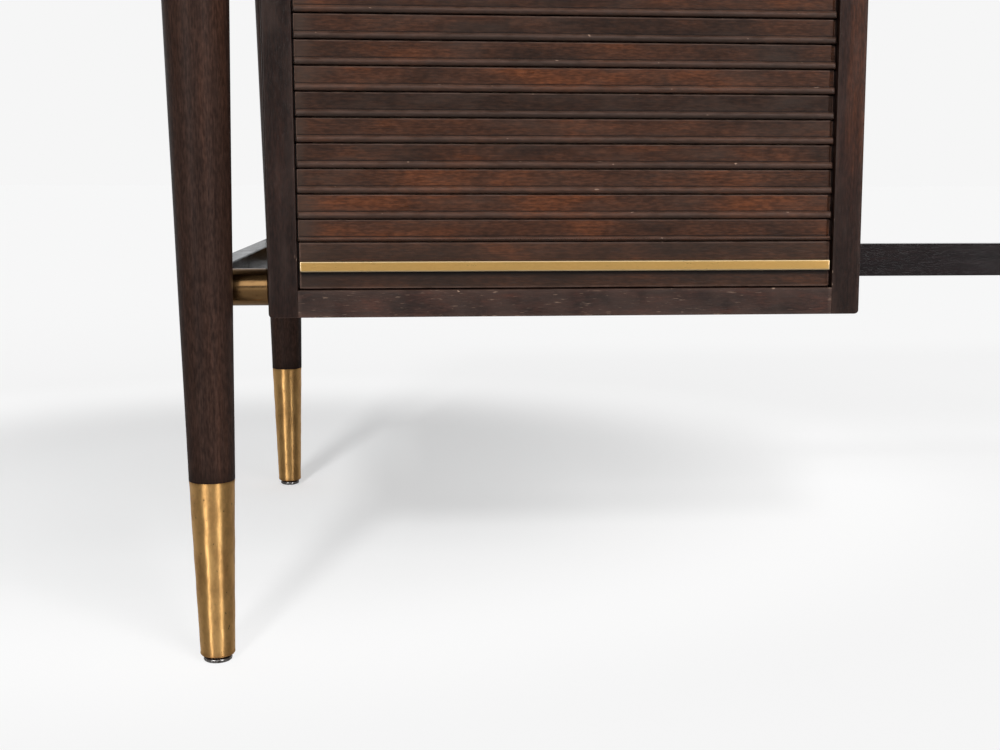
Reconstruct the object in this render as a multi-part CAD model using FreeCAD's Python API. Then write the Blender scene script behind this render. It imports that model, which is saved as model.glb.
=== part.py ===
import FreeCAD, Part
import os

# Writing desk with one pedestal, closed by a roll-up tambour.
# The pedestal hangs between turned legs: brass spacers hold it to the side rails that join the legs.
# A frieze with one drawer spans the kneehole, and one top covers everything.
# Millimetres, +Z up, front towards -Y. The origin is on the floor, under the middle of the top.

# ---- top
DESK_HEIGHT = 751.0
TOP_THICKNESS = 25.4
TOP_SIDE_OVERHANG = 80.0
TOP_FRONT_OVERHANG = 52.0
TOP_CORNER_RADIUS = 6.0
TOP_EDGE_RADIUS = 2.5

# ---- pedestal case
CASE_WIDTH = 457.2
CASE_DEPTH = 618.6
CASE_BOTTOM_Z = 261.7
CASE_SIDE_THICKNESS = 22.2
CASE_BOTTOM_THICKNESS = 20.6
CASE_TOP_THICKNESS = 16.0
CASE_EDGE_RADIUS = 1.5
BACK_THICKNESS = 8.0
BACK_REBATE = 10.0
FASCIA_THICKNESS = 16.0
FASCIA_EDGE_RADIUS = 2.0
POCKET_PANEL_THICKNESS = 6.0
POCKET_PANEL_DROP = 8.0

# ---- shelf on four pins
SHELF_THICKNESS = 16.0
SHELF_Z = 397.7
SHELF_FRONT_SETBACK = 22.0
SHELF_SIDE_CLEARANCE = 0.6
SHELF_BACK_CLEARANCE = 4.0
PIN_RADIUS = 2.5
PIN_IN_PANEL = 9.0
PIN_OUT_OF_PANEL = 9.0
PIN_INSET = 70.0

# ---- tambour
SLAT_COUNT = 11
SLAT_PITCH = 18.95
FIRST_SLAT_TRIM = 1.9
SLAT_JOINT = 0.7
SLAT_THICKNESS = 7.0
SLAT_FACE_SETBACK = 6.0
SLAT_ARRIS = 0.7
LIP_HEIGHT = 5.4
LIP_PROJECTION = 3.0
LIP_UPPER_RADIUS = 1.9
LIP_LOWER_RADIUS = 1.1
CURTAIN_SIDE_GAP = 0.9
CURTAIN_REST_GAP = 0.9
BOTTOM_RAIL_HEIGHT = 35.1
SLATS_BEHIND_FASCIA = 8.0
TONGUE_THICKNESS = 4.0
TONGUE_SETBACK = 2.5
TONGUE_IN_GROOVE = 5.0
TONGUE_END_RELIEF = 0.5
GROOVE_CLEARANCE = 0.4
GROOVE_END_CLEARANCE = 1.0
CANVAS_THICKNESS = 0.8
CANVAS_SIDE_MARGIN = 12.0
CANVAS_ABOVE_SCREWS = 4.0
POCKET_CLEARANCE = 8.0

# ---- brass bar pulls and their screws
BAR_HEIGHT = 8.1
BAR_PROJECTION = 5.5
BAR_CHAMFER = 0.7
TAMBOUR_BAR_RISE = 12.9
TAMBOUR_BAR_END_GAP = 1.0
DRAWER_BAR_RISE = 25.0
DRAWER_BAR_END_GAP = 12.0
BAR_SCREW_RADIUS = 1.5
BAR_SCREW_HEAD_RADIUS = 3.0
BAR_SCREW_HEAD_DEPTH = 2.0
BAR_SCREW_BITE = 3.5
BAR_SCREW_INSET = 40.0
BAR_SCREW_COUNT = 4

# ---- turned legs, brass sabots, glides
LEG_TOP_RADIUS = 28.5
SABOT_TOP_RADIUS = 17.1
SABOT_FOOT_RADIUS = 13.1
SABOT_TOP_Z = 141.4
SABOT_BOTTOM_Z = 5.3
SABOT_WALL = 1.2
LEG_FRONT_SETOUT = 16.3
GLIDE_RADIUS = 10.8
GLIDE_FLAT_RADIUS = 6.5
GLIDE_HEIGHT = 4.0
GLIDE_STEM_RADIUS = 3.0
GLIDE_STEM_IN_LEG = 16.0
WASHER_RADIUS = 9.0

# ---- side rails, stretcher and their tenons
RAIL_THICKNESS = 18.0
RAIL_HEIGHT = 31.7
RAIL_FACE_FROM_LEG_AXIS = 14.5
LOWER_RAIL_TOP_Z = 302.2
RAIL_ARRIS = 0.8
TENON_THICKNESS = 9.0
TENON_HEIGHT = 20.0
STRETCHER_TENON_LENGTH = 10.0

# ---- brass spacers between rails and case, with their bolts
SPACER_LENGTH = 29.3
SPACER_RADIUS = 14.1
SPACER_CHAMFER = 0.8
SPACER_LOWER_DROP = 2.2
SPACER_LOWER_INSET = 16.0
SPACER_UPPER_INSET = 30.0
BOLT_RADIUS = 2.5
BOLT_HEAD_RADIUS = 5.0
BOLT_HEAD_HEIGHT = 3.5
BOLT_HEAD_RECESS = 4.5
BOLT_BITE = 12.0

# ---- screws that hold the top down
TOP_SCREW_RADIUS = 2.5
TOP_SCREW_HEAD_RADIUS = 4.5
TOP_SCREW_HEAD_RECESS = 8.0
TOP_SCREW_HEAD_HEIGHT = 3.0
TOP_SCREW_BITE = 14.0
TOP_SCREW_INSET = 160.0

# ---- frieze over the kneehole
FRIEZE_LENGTH = 754.4
FRIEZE_HEIGHT = 110.0
FRIEZE_END_THICKNESS = 20.6
FRIEZE_BACK_THICKNESS = 16.0

# ---- drawer and its runners
DRAWER_BACK_GAP = 122.6
DRAWER_BOX_HEIGHT = 84.0
DRAWER_BOX_RISE = 8.0
DRAWER_SIDE_THICKNESS = 12.7
DRAWER_SIDE_CLEARANCE = 1.0
DRAWER_BOTTOM_THICKNESS = 6.0
DRAWER_BOTTOM_RISE = 6.0
DRAWER_BOTTOM_IN_SIDES = 5.0
DRAWER_FRONT_TOP_GAP = 2.0
DRAWER_FRONT_SIDE_GAP = 2.0
DRAWER_REST_GAP = 0.4
RUNNER_THICKNESS = 8.0
RUNNER_HEIGHT = 16.0
RUNNER_RISE = 52.0
RUNNER_FRONT_SETBACK = 8.0
RUNNER_BACK_GAP = 34.6
RUNNER_TOP_CLEARANCE = 0.3
RUNNER_BOTTOM_CLEARANCE = 0.8
RUNNER_END_CLEARANCE = 1.0
RUNNER_SCREW_RADIUS = 2.0
RUNNER_SCREW_HEAD_RADIUS = 3.5
RUNNER_SCREW_HEAD_DEPTH = 2.0
RUNNER_SCREW_BITE = 12.0
RUNNER_SCREW_INSET = 60.0
RUNNER_SCREW_COUNT = 3

# ---- planes that pieces share
TOP_UNDERSIDE = DESK_HEIGHT - TOP_THICKNESS
DESK_WIDTH = CASE_WIDTH + FRIEZE_LENGTH + 2 * TOP_SIDE_OVERHANG
CASE_LEFT = TOP_SIDE_OVERHANG - DESK_WIDTH / 2
CASE_RIGHT = CASE_LEFT + CASE_WIDTH
FRIEZE_RIGHT = CASE_RIGHT + FRIEZE_LENGTH
FRONT = -CASE_DEPTH / 2
BACK = CASE_DEPTH / 2
INSIDE_LEFT = CASE_LEFT + CASE_SIDE_THICKNESS
INSIDE_RIGHT = CASE_RIGHT - CASE_SIDE_THICKNESS
INSIDE_FLOOR = CASE_BOTTOM_Z + CASE_BOTTOM_THICKNESS
INSIDE_BACK = BACK - BACK_THICKNESS

FACE_Y = FRONT + SLAT_FACE_SETBACK
LIP_Y = FACE_Y - LIP_PROJECTION
SLAT_BACK_Y = FACE_Y + SLAT_THICKNESS
TONGUE_Y = FACE_Y + TONGUE_SETBACK
CANVAS_BACK_Y = SLAT_BACK_Y + CANVAS_THICKNESS
POCKET_PANEL_Y = CANVAS_BACK_Y + POCKET_CLEARANCE
FACE_LEFT = INSIDE_LEFT + CURTAIN_SIDE_GAP
FACE_RIGHT = INSIDE_RIGHT - CURTAIN_SIDE_GAP
CURTAIN_BOTTOM = INSIDE_FLOOR + CURTAIN_REST_GAP
TAMBOUR_BAR_Z = CURTAIN_BOTTOM + TAMBOUR_BAR_RISE
TAMBOUR_BAR_X = (FACE_LEFT + TAMBOUR_BAR_END_GAP, FACE_RIGHT - TAMBOUR_BAR_END_GAP)
SLATS_BOTTOM = CURTAIN_BOTTOM + BOTTOM_RAIL_HEIGHT + SLAT_JOINT
CURTAIN_TOP = SLATS_BOTTOM + SLAT_COUNT * SLAT_PITCH - SLAT_JOINT - FIRST_SLAT_TRIM
OPENING_TOP = CURTAIN_TOP - SLATS_BEHIND_FASCIA

LEG_SETOUT = SPACER_LENGTH + RAIL_FACE_FROM_LEG_AXIS
LEG_X = {"left": CASE_LEFT - LEG_SETOUT, "right": FRIEZE_RIGHT + LEG_SETOUT}
LEG_Y = {"front": FRONT - LEG_FRONT_SETOUT, "rear": BACK + LEG_FRONT_SETOUT}
LOWER_RAIL_Z = LOWER_RAIL_TOP_Z - RAIL_HEIGHT
UPPER_RAIL_Z = TOP_UNDERSIDE - RAIL_HEIGHT
STRETCHER_MIDDLE_Y = (FRONT + BACK) / 2
INWARD = {"left": 1, "right": -1}

FRIEZE_Z = TOP_UNDERSIDE - FRIEZE_HEIGHT
BAY_RIGHT = FRIEZE_RIGHT - FRIEZE_END_THICKNESS
BAY_BACK = BACK - FRIEZE_BACK_THICKNESS
DRAWER_LEFT = CASE_RIGHT + DRAWER_SIDE_CLEARANCE
DRAWER_RIGHT = BAY_RIGHT - DRAWER_SIDE_CLEARANCE
DRAWER_FRONT_BACK_Y = FRONT - DRAWER_REST_GAP
DRAWER_FRONT_Y = FRONT - FASCIA_THICKNESS
DRAWER_BACK_Y = BAY_BACK - DRAWER_BACK_GAP
DRAWER_Z = FRIEZE_Z + DRAWER_BOX_RISE
DRAWER_FLOOR_Z = DRAWER_Z + DRAWER_BOTTOM_RISE
DRAWER_FRONT_X = (CASE_RIGHT + DRAWER_FRONT_SIDE_GAP, FRIEZE_RIGHT)
DRAWER_BAR_X = (DRAWER_FRONT_X[0] + DRAWER_BAR_END_GAP, DRAWER_FRONT_X[1] - DRAWER_BAR_END_GAP)
DRAWER_BAR_Z = FRIEZE_Z + DRAWER_BAR_RISE
RUNNER_Y = (FRONT + RUNNER_FRONT_SETBACK, BAY_BACK - RUNNER_BACK_GAP)
RUNNER_Z = FRIEZE_Z + RUNNER_RISE - RUNNER_HEIGHT / 2


# ---- shapes
def point(x, y, z):
    """Vector with these coordinates."""
    return FreeCAD.Vector(x, y, z)


X_AXIS = point(1, 0, 0)
Y_AXIS = point(0, 1, 0)
Z_AXIS = point(0, 0, 1)


def block(x, y, z):
    """Box between two X, two Y and two Z values, each given as a pair in any order."""
    low = point(min(x), min(y), min(z))
    return Part.makeBox(abs(x[1] - x[0]), abs(y[1] - y[0]), abs(z[1] - z[0]), low)


def rod(radius, start, axis, length):
    """Cylinder from start, along an axis; a negative length runs the other way."""
    direction = axis if length > 0 else axis.negative()
    return Part.makeCylinder(radius, abs(length), start, direction)


def turned(profile, x, y):
    """Solid turned about a vertical axis from (radius, height) points."""
    outline = [point(radius, 0, z) for radius, z in profile]
    outline.append(outline[0])
    solid = Part.Face(Part.makePolygon(outline)).revolve(point(0, 0, 0), Z_AXIS, 360)
    solid.translate(point(x, y, 0))
    return solid


def without(solid, cutters):
    """The solid less every cutter."""
    return solid.cut(cutters).removeSplitter() if cutters else solid


def grouped(solids):
    """Separate solids that share one node."""
    return Part.makeCompound(solids)


def edges_at(solid, axis, **places):
    """Straight edges along an axis whose middle lies at the given x, y or z values."""
    found = []
    for edge in solid.Edges:
        if not isinstance(edge.Curve, Part.Line):
            continue
        if abs(edge.tangentAt(edge.FirstParameter).dot(axis)) < 0.999:
            continue
        middle = edge.CenterOfMass
        if all(abs(getattr(middle, name) - value) < 0.01 for name, value in places.items()):
            found.append(edge)
    return found


def spread(first, last, count):
    """Evenly spaced values from first to last."""
    return [first + (last - first) * i / (count - 1) for i in range(count)]


# ---- legs
def leg_radius(z):
    """Radius of the turned leg above its sabot."""
    share = (z - SABOT_TOP_Z) / (TOP_UNDERSIDE - SABOT_TOP_Z)
    return SABOT_TOP_RADIUS + share * (LEG_TOP_RADIUS - SABOT_TOP_RADIUS)


def leg_envelope(x, y):
    """Leg above the sabot, before its mortises: what the rails are scribed to."""
    profile = [(0, SABOT_TOP_Z), (SABOT_TOP_RADIUS, SABOT_TOP_Z)]
    profile += [(LEG_TOP_RADIUS, TOP_UNDERSIDE), (0, TOP_UNDERSIDE)]
    return turned(profile, x, y)


def tenon_at_leg(side, end, rail_z):
    """Tenon of a side rail, from the leg's axis to well inside the rail."""
    middle = LEG_X[side] + INWARD[side] * (RAIL_FACE_FROM_LEG_AXIS - RAIL_THICKNESS / 2)
    reach = LEG_Y[end] + (1 if end == "front" else -1) * 2 * LEG_TOP_RADIUS
    low = rail_z + (RAIL_HEIGHT - TENON_HEIGHT) / 2
    return block(
        (middle - TENON_THICKNESS / 2, middle + TENON_THICKNESS / 2),
        (LEG_Y[end], reach),
        (low, low + TENON_HEIGHT),
    )


def leg(side, end):
    """Wooden leg: a long taper, turned down inside the sabot and mortised for both rails."""
    x, y = LEG_X[side], LEG_Y[end]
    end_z = SABOT_BOTTOM_Z + SABOT_WALL
    profile = [(0, end_z), (sabot_inner_radius(end_z), end_z)]
    profile += [(SABOT_TOP_RADIUS - SABOT_WALL, SABOT_TOP_Z), (SABOT_TOP_RADIUS, SABOT_TOP_Z)]
    profile += [(LEG_TOP_RADIUS, TOP_UNDERSIDE), (0, TOP_UNDERSIDE)]
    cutters = [tenon_at_leg(side, end, z) for z in (LOWER_RAIL_Z, UPPER_RAIL_Z)]
    cutters.append(rod(GLIDE_STEM_RADIUS, point(x, y, end_z), Z_AXIS, GLIDE_STEM_IN_LEG))
    return without(turned(profile, x, y), cutters)


def sabot_inner_radius(z):
    """Radius inside the sabot at a height."""
    share = (z - SABOT_BOTTOM_Z) / (SABOT_TOP_Z - SABOT_BOTTOM_Z)
    return SABOT_FOOT_RADIUS + share * (SABOT_TOP_RADIUS - SABOT_FOOT_RADIUS) - SABOT_WALL


def sabot(side, end):
    """Brass cup drawn over the foot of the leg, with a hole in its floor for the glide."""
    floor_z = SABOT_BOTTOM_Z + SABOT_WALL
    profile = [(GLIDE_STEM_RADIUS, SABOT_BOTTOM_Z), (SABOT_FOOT_RADIUS, SABOT_BOTTOM_Z)]
    profile += [(SABOT_TOP_RADIUS, SABOT_TOP_Z), (SABOT_TOP_RADIUS - SABOT_WALL, SABOT_TOP_Z)]
    profile += [(sabot_inner_radius(floor_z), floor_z), (GLIDE_STEM_RADIUS, floor_z)]
    return turned(profile, LEG_X[side], LEG_Y[end])


def glide(x, y):
    """Steel foot: a dished disc on a stem that is driven into the leg."""
    stem_top = SABOT_BOTTOM_Z + SABOT_WALL + GLIDE_STEM_IN_LEG
    profile = [(0, 0), (GLIDE_FLAT_RADIUS, 0), (GLIDE_RADIUS, GLIDE_HEIGHT / 2)]
    profile += [(GLIDE_RADIUS, GLIDE_HEIGHT), (GLIDE_STEM_RADIUS, GLIDE_HEIGHT)]
    profile += [(GLIDE_STEM_RADIUS, stem_top), (0, stem_top)]
    return turned(profile, x, y)


def washer(x, y):
    """Dark fibre washer between glide and sabot."""
    profile = [(GLIDE_STEM_RADIUS, GLIDE_HEIGHT), (WASHER_RADIUS, GLIDE_HEIGHT)]
    profile += [(WASHER_RADIUS, SABOT_BOTTOM_Z), (GLIDE_STEM_RADIUS, SABOT_BOTTOM_Z)]
    return turned(profile, x, y)


# ---- rails, spacers and bolts
def rail_face_x(side):
    """Face of a side rail that looks at the case."""
    return LEG_X[side] + INWARD[side] * RAIL_FACE_FROM_LEG_AXIS


def bolt_places(side, level):
    """(y, z) of each spacer on a side, lower or upper."""
    if level == "lower":
        inset, z = SPACER_LOWER_INSET, LOWER_RAIL_Z + RAIL_HEIGHT / 2 - SPACER_LOWER_DROP
    else:
        inset, z = SPACER_UPPER_INSET, UPPER_RAIL_Z + RAIL_HEIGHT / 2
    return {"front": (FRONT + inset, z), "rear": (BACK - inset, z)}


SPACERS = [("left", "lower"), ("left", "upper"), ("right", "upper")]


def spacer(side, y, z):
    """Short brass cylinder with eased ends, drilled through for its bolt."""
    start = point(rail_face_x(side), y, z)
    solid = rod(SPACER_RADIUS, start, X_AXIS, INWARD[side] * SPACER_LENGTH)
    rims = [edge for edge in solid.Edges if isinstance(edge.Curve, Part.Circle)]
    solid = solid.makeChamfer(SPACER_CHAMFER, rims)
    return solid.cut(rod(BOLT_RADIUS, start, X_AXIS, INWARD[side] * SPACER_LENGTH))


def bolt(side, y, z):
    """Brass screw: head sunk in the rail, shank through rail and spacer into the panel."""
    inward = INWARD[side]
    outer = rail_face_x(side) - inward * RAIL_THICKNESS
    seat = outer + inward * BOLT_HEAD_RECESS
    tip = rail_face_x(side) + inward * (SPACER_LENGTH + BOLT_BITE)
    head = rod(BOLT_HEAD_RADIUS, point(seat, y, z), X_AXIS, -inward * BOLT_HEAD_HEIGHT)
    return head.fuse(rod(BOLT_RADIUS, point(seat, y, z), X_AXIS, tip - seat)).removeSplitter()


def bolt_room(side, y, z):
    """What a bolt takes out of the rail and the panel: its shank and the recess for its head."""
    inward = INWARD[side]
    outer = rail_face_x(side) - inward * RAIL_THICKNESS
    tip = rail_face_x(side) + inward * (SPACER_LENGTH + BOLT_BITE)
    recess = rod(BOLT_HEAD_RADIUS, point(outer, y, z), X_AXIS, inward * BOLT_HEAD_RECESS)
    return recess.fuse(rod(BOLT_RADIUS, point(outer, y, z), X_AXIS, tip - outer))


def bolt_rooms(side, level):
    """Cutters for every bolt on one side at one level."""
    return [bolt_room(side, y, z) for y, z in bolt_places(side, level).values()]


def stretcher_tenon(x, inward):
    """Tenon at one end of the stretcher; inward points from the shoulder into the mortise."""
    low = LOWER_RAIL_Z + (RAIL_HEIGHT - TENON_HEIGHT) / 2
    return block(
        (x, x + inward * STRETCHER_TENON_LENGTH),
        (STRETCHER_MIDDLE_Y - TENON_THICKNESS / 2, STRETCHER_MIDDLE_Y + TENON_THICKNESS / 2),
        (low, low + TENON_HEIGHT),
    )


def top_screw_places(side):
    """(x, y) of the screws through an upper side rail."""
    x = rail_face_x(side) - INWARD[side] * RAIL_THICKNESS / 2
    return [(x, FRONT + TOP_SCREW_INSET), (x, BACK - TOP_SCREW_INSET)]


def top_screw(x, y):
    """Screw from under an upper rail into the top."""
    seat = point(x, y, UPPER_RAIL_Z + TOP_SCREW_HEAD_RECESS)
    head = rod(TOP_SCREW_HEAD_RADIUS, seat, Z_AXIS, -TOP_SCREW_HEAD_HEIGHT)
    length = TOP_UNDERSIDE + TOP_SCREW_BITE - seat.z
    return head.fuse(rod(TOP_SCREW_RADIUS, seat, Z_AXIS, length)).removeSplitter()


def top_screw_room(x, y):
    """What a top screw takes out of rail and top."""
    foot = point(x, y, UPPER_RAIL_Z)
    length = TOP_UNDERSIDE + TOP_SCREW_BITE - UPPER_RAIL_Z
    recess = rod(TOP_SCREW_HEAD_RADIUS, foot, Z_AXIS, TOP_SCREW_HEAD_RECESS)
    return recess.fuse(rod(TOP_SCREW_RADIUS, foot, Z_AXIS, length))


def side_rail(side, level):
    """Rail between the legs of one end, scribed to both and tenoned into them."""
    z = LOWER_RAIL_Z if level == "lower" else UPPER_RAIL_Z
    face = rail_face_x(side)
    outer = face - INWARD[side] * RAIL_THICKNESS
    solid = block((face, outer), (LEG_Y["front"], LEG_Y["rear"]), (z, z + RAIL_HEIGHT))
    eased = edges_at(solid, Y_AXIS, x=face) + edges_at(solid, Y_AXIS, x=outer)
    solid = solid.makeChamfer(RAIL_ARRIS, eased)
    solid = solid.cut([leg_envelope(LEG_X[side], y) for y in LEG_Y.values()])
    solid = solid.fuse([tenon_at_leg(side, end, z) for end in LEG_Y])
    cutters = bolt_rooms(side, level) if (side, level) in SPACERS else []
    if level == "upper":
        cutters += [top_screw_room(*place) for place in top_screw_places(side)]
    elif side == "right":
        cutters.append(stretcher_tenon(face, 1))
    return without(solid.removeSplitter(), cutters)


def stretcher():
    """Long rail at mid depth, from the pedestal to the right-hand side rail."""
    start, finish = CASE_RIGHT, rail_face_x("right")
    y = (STRETCHER_MIDDLE_Y - RAIL_THICKNESS / 2, STRETCHER_MIDDLE_Y + RAIL_THICKNESS / 2)
    solid = block((start, finish), y, (LOWER_RAIL_Z, LOWER_RAIL_TOP_Z))
    eased = edges_at(solid, X_AXIS)
    solid = solid.makeChamfer(RAIL_ARRIS, eased)
    return solid.fuse([stretcher_tenon(start, -1), stretcher_tenon(finish, 1)]).removeSplitter()


# ---- pedestal case
def pin_places():
    """(y, z) of the shelf pins on one side panel."""
    z = SHELF_Z - PIN_RADIUS
    return [(FRONT + PIN_INSET, z), (INSIDE_BACK - PIN_INSET, z)]


def case_side(side):
    """Side panel: tambour groove, rebate for the back, holes for pins and bolts."""
    outer, inner = (CASE_LEFT, INSIDE_LEFT) if side == "left" else (CASE_RIGHT, INSIDE_RIGHT)
    outward = -INWARD[side]
    solid = block((outer, inner), (FRONT, BACK), (CASE_BOTTOM_Z, TOP_UNDERSIDE))
    eased = edges_at(solid, Z_AXIS, x=outer) + edges_at(solid, Y_AXIS, x=outer, z=CASE_BOTTOM_Z)
    solid = solid.makeFillet(CASE_EDGE_RADIUS, eased)
    groove = block(
        (inner, inner + outward * (TONGUE_IN_GROOVE + GROOVE_END_CLEARANCE)),
        (TONGUE_Y - GROOVE_CLEARANCE, TONGUE_Y + TONGUE_THICKNESS + GROOVE_CLEARANCE),
        (INSIDE_FLOOR, TOP_UNDERSIDE),
    )
    rebate = block(
        (inner, inner + outward * BACK_REBATE),
        (INSIDE_BACK, BACK),
        (CASE_BOTTOM_Z, TOP_UNDERSIDE),
    )
    cutters = [groove, rebate]
    for y, z in pin_places():
        cutters.append(rod(PIN_RADIUS, point(inner, y, z), X_AXIS, outward * PIN_IN_PANEL))
    if side == "left":
        cutters += bolt_rooms("left", "lower") + bolt_rooms("left", "upper")
    else:
        cutters.append(stretcher_tenon(CASE_RIGHT, -1))
        cutters += runner_screws("left")
    return without(solid, cutters)


def case_bottom():
    """Board between the side panels, flush with their front and lower edges."""
    return block((INSIDE_LEFT, INSIDE_RIGHT), (FRONT, INSIDE_BACK), (CASE_BOTTOM_Z, INSIDE_FLOOR))


def case_top():
    """Inner top board; it stops behind the pocket that the tambour rises into."""
    return block(
        (INSIDE_LEFT, INSIDE_RIGHT),
        (POCKET_PANEL_Y + POCKET_PANEL_THICKNESS, INSIDE_BACK),
        (TOP_UNDERSIDE - CASE_TOP_THICKNESS, TOP_UNDERSIDE),
    )


def case_back():
    """Thin back panel in the rebates of the side panels."""
    return block(
        (INSIDE_LEFT - BACK_REBATE, INSIDE_RIGHT + BACK_REBATE),
        (INSIDE_BACK, BACK),
        (CASE_BOTTOM_Z, TOP_UNDERSIDE),
    )


def fascia():
    """Fixed front above the opening; the raised tambour hides behind it."""
    solid = block(
        (CASE_LEFT, CASE_RIGHT),
        (FRONT - FASCIA_THICKNESS, FRONT),
        (OPENING_TOP, TOP_UNDERSIDE),
    )
    front_y = FRONT - FASCIA_THICKNESS
    eased = edges_at(solid, Z_AXIS, y=front_y) + edges_at(solid, X_AXIS, y=front_y, z=OPENING_TOP)
    return solid.makeFillet(FASCIA_EDGE_RADIUS, eased)


def pocket_panel():
    """Thin panel behind the pocket, which keeps the contents off the raised tambour."""
    return block(
        (INSIDE_LEFT, INSIDE_RIGHT),
        (POCKET_PANEL_Y, POCKET_PANEL_Y + POCKET_PANEL_THICKNESS),
        (OPENING_TOP - POCKET_PANEL_DROP, TOP_UNDERSIDE),
    )


def shelf():
    """Loose shelf that lies on the pins."""
    return block(
        (INSIDE_LEFT + SHELF_SIDE_CLEARANCE, INSIDE_RIGHT - SHELF_SIDE_CLEARANCE),
        (CANVAS_BACK_Y + SHELF_FRONT_SETBACK, INSIDE_BACK - SHELF_BACK_CLEARANCE),
        (SHELF_Z, SHELF_Z + SHELF_THICKNESS),
    )


def shelf_pins():
    """Four brass pins, half in the panels and half under the shelf."""
    length = PIN_IN_PANEL + PIN_OUT_OF_PANEL
    pins = []
    for y, z in pin_places():
        pins.append(rod(PIN_RADIUS, point(INSIDE_LEFT - PIN_IN_PANEL, y, z), X_AXIS, length))
        pins.append(rod(PIN_RADIUS, point(INSIDE_RIGHT + PIN_IN_PANEL, y, z), X_AXIS, -length))
    return grouped(pins)


# ---- tambour
def tongue(bottom, top):
    """Strip along a slat's back whose ends run in the grooves."""
    return block(
        (INSIDE_LEFT - TONGUE_IN_GROOVE, INSIDE_RIGHT + TONGUE_IN_GROOVE),
        (TONGUE_Y, TONGUE_Y + TONGUE_THICKNESS),
        (bottom + TONGUE_END_RELIEF, top - TONGUE_END_RELIEF),
    )


def rounded(corner, towards_start, towards_end, radius):
    """Quarter-round edge at a corner, with its two ends."""
    middle_out = corner + (towards_start + towards_end) * radius * (1 - 0.5**0.5)
    start = corner + towards_start * radius
    finish = corner + towards_end * radius
    return Part.Arc(start, middle_out, finish).toShape(), start, finish


def slat(index):
    """One slat: flat face with a rounded lip along its lower edge, which the lowest has trimmed."""
    top = CURTAIN_TOP - (SLAT_COUNT - 1 - index) * SLAT_PITCH
    untrimmed = top + SLAT_JOINT - SLAT_PITCH
    bottom = max(untrimmed, SLATS_BOTTOM)
    lip_top = untrimmed + LIP_HEIGHT
    up, ahead = Z_AXIS, Y_AXIS.negative()
    x = FACE_LEFT
    lower = rounded(point(x, LIP_Y, bottom), ahead.negative(), up, LIP_LOWER_RADIUS)
    upper = rounded(point(x, LIP_Y, lip_top), up.negative(), ahead.negative(), LIP_UPPER_RADIUS)
    rest = [
        upper[-1],
        point(x, FACE_Y, lip_top),
        point(x, FACE_Y, top - SLAT_ARRIS),
        point(x, FACE_Y + SLAT_ARRIS, top),
        point(x, SLAT_BACK_Y, top),
        point(x, SLAT_BACK_Y, bottom),
        lower[1],
    ]
    edges = [lower[0], Part.makeLine(lower[-1], upper[1]), upper[0]] + Part.makePolygon(rest).Edges
    section = Part.Face(Part.Wire(Part.__sortEdges__(edges)))
    solid = section.extrude(X_AXIS * (FACE_RIGHT - FACE_LEFT))
    return solid.fuse(tongue(bottom, top)).removeSplitter()


def bottom_rail():
    """Wide lowest slat, which carries the brass bar."""
    top = CURTAIN_BOTTOM + BOTTOM_RAIL_HEIGHT
    solid = block((FACE_LEFT, FACE_RIGHT), (FACE_Y, SLAT_BACK_Y), (CURTAIN_BOTTOM, top))
    eased = edges_at(solid, X_AXIS, y=FACE_Y) + edges_at(solid, Z_AXIS, y=FACE_Y)
    solid = solid.makeChamfer(SLAT_ARRIS, eased).fuse(tongue(CURTAIN_BOTTOM, top))
    return without(solid, tambour_bar_screws())


def canvas():
    """Cloth glued to the backs of the slats, which lets the tambour bend."""
    return block(
        (FACE_LEFT + CANVAS_SIDE_MARGIN, FACE_RIGHT - CANVAS_SIDE_MARGIN),
        (SLAT_BACK_Y, CANVAS_BACK_Y),
        (TAMBOUR_BAR_Z + BAR_HEIGHT + CANVAS_ABOVE_SCREWS, CURTAIN_TOP),
    )


# ---- bar pulls
def bar(x, face_y, low):
    """Square brass bar on a face, bevelled all round its front."""
    front_y = face_y - BAR_PROJECTION
    solid = block(x, (front_y, face_y), (low, low + BAR_HEIGHT))
    bevelled = edges_at(solid, X_AXIS, y=front_y) + edges_at(solid, Z_AXIS, y=front_y)
    return solid.makeChamfer(BAR_CHAMFER, bevelled)


def bar_screw(x, z, face_y, back_y):
    """Screw from behind, through what the bar lies on and into the bar."""
    seat = point(x, back_y - BAR_SCREW_HEAD_DEPTH, z)
    head = rod(BAR_SCREW_HEAD_RADIUS, seat, Y_AXIS, BAR_SCREW_HEAD_DEPTH)
    shank = rod(BAR_SCREW_RADIUS, seat, Y_AXIS, face_y - BAR_SCREW_BITE - seat.y)
    return head.fuse(shank).removeSplitter()


def screws_along(x, low):
    """(x, z) of the screws along a bar."""
    places = spread(x[0] + BAR_SCREW_INSET, x[1] - BAR_SCREW_INSET, BAR_SCREW_COUNT)
    return [(place, low + BAR_HEIGHT / 2) for place in places]


def tambour_bar_screws():
    """Screws of the tambour's bar, from behind the bottom rail."""
    return [bar_screw(x, z, FACE_Y, SLAT_BACK_Y) for x, z in screws_along(TAMBOUR_BAR_X, TAMBOUR_BAR_Z)]


def drawer_bar_screws():
    """Screws of the drawer's bar, from inside the drawer."""
    places = screws_along(DRAWER_BAR_X, DRAWER_BAR_Z)
    return [bar_screw(x, z, DRAWER_FRONT_Y, DRAWER_FRONT_BACK_Y) for x, z in places]


# ---- frieze
def frieze_end():
    """Panel that closes the frieze on the right."""
    solid = block((BAY_RIGHT, FRIEZE_RIGHT), (FRONT, BACK), (FRIEZE_Z, TOP_UNDERSIDE))
    eased = edges_at(solid, Y_AXIS, x=FRIEZE_RIGHT, z=FRIEZE_Z)
    solid = solid.makeFillet(CASE_EDGE_RADIUS, eased)
    return without(solid, bolt_rooms("right", "upper") + runner_screws("right"))


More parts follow.
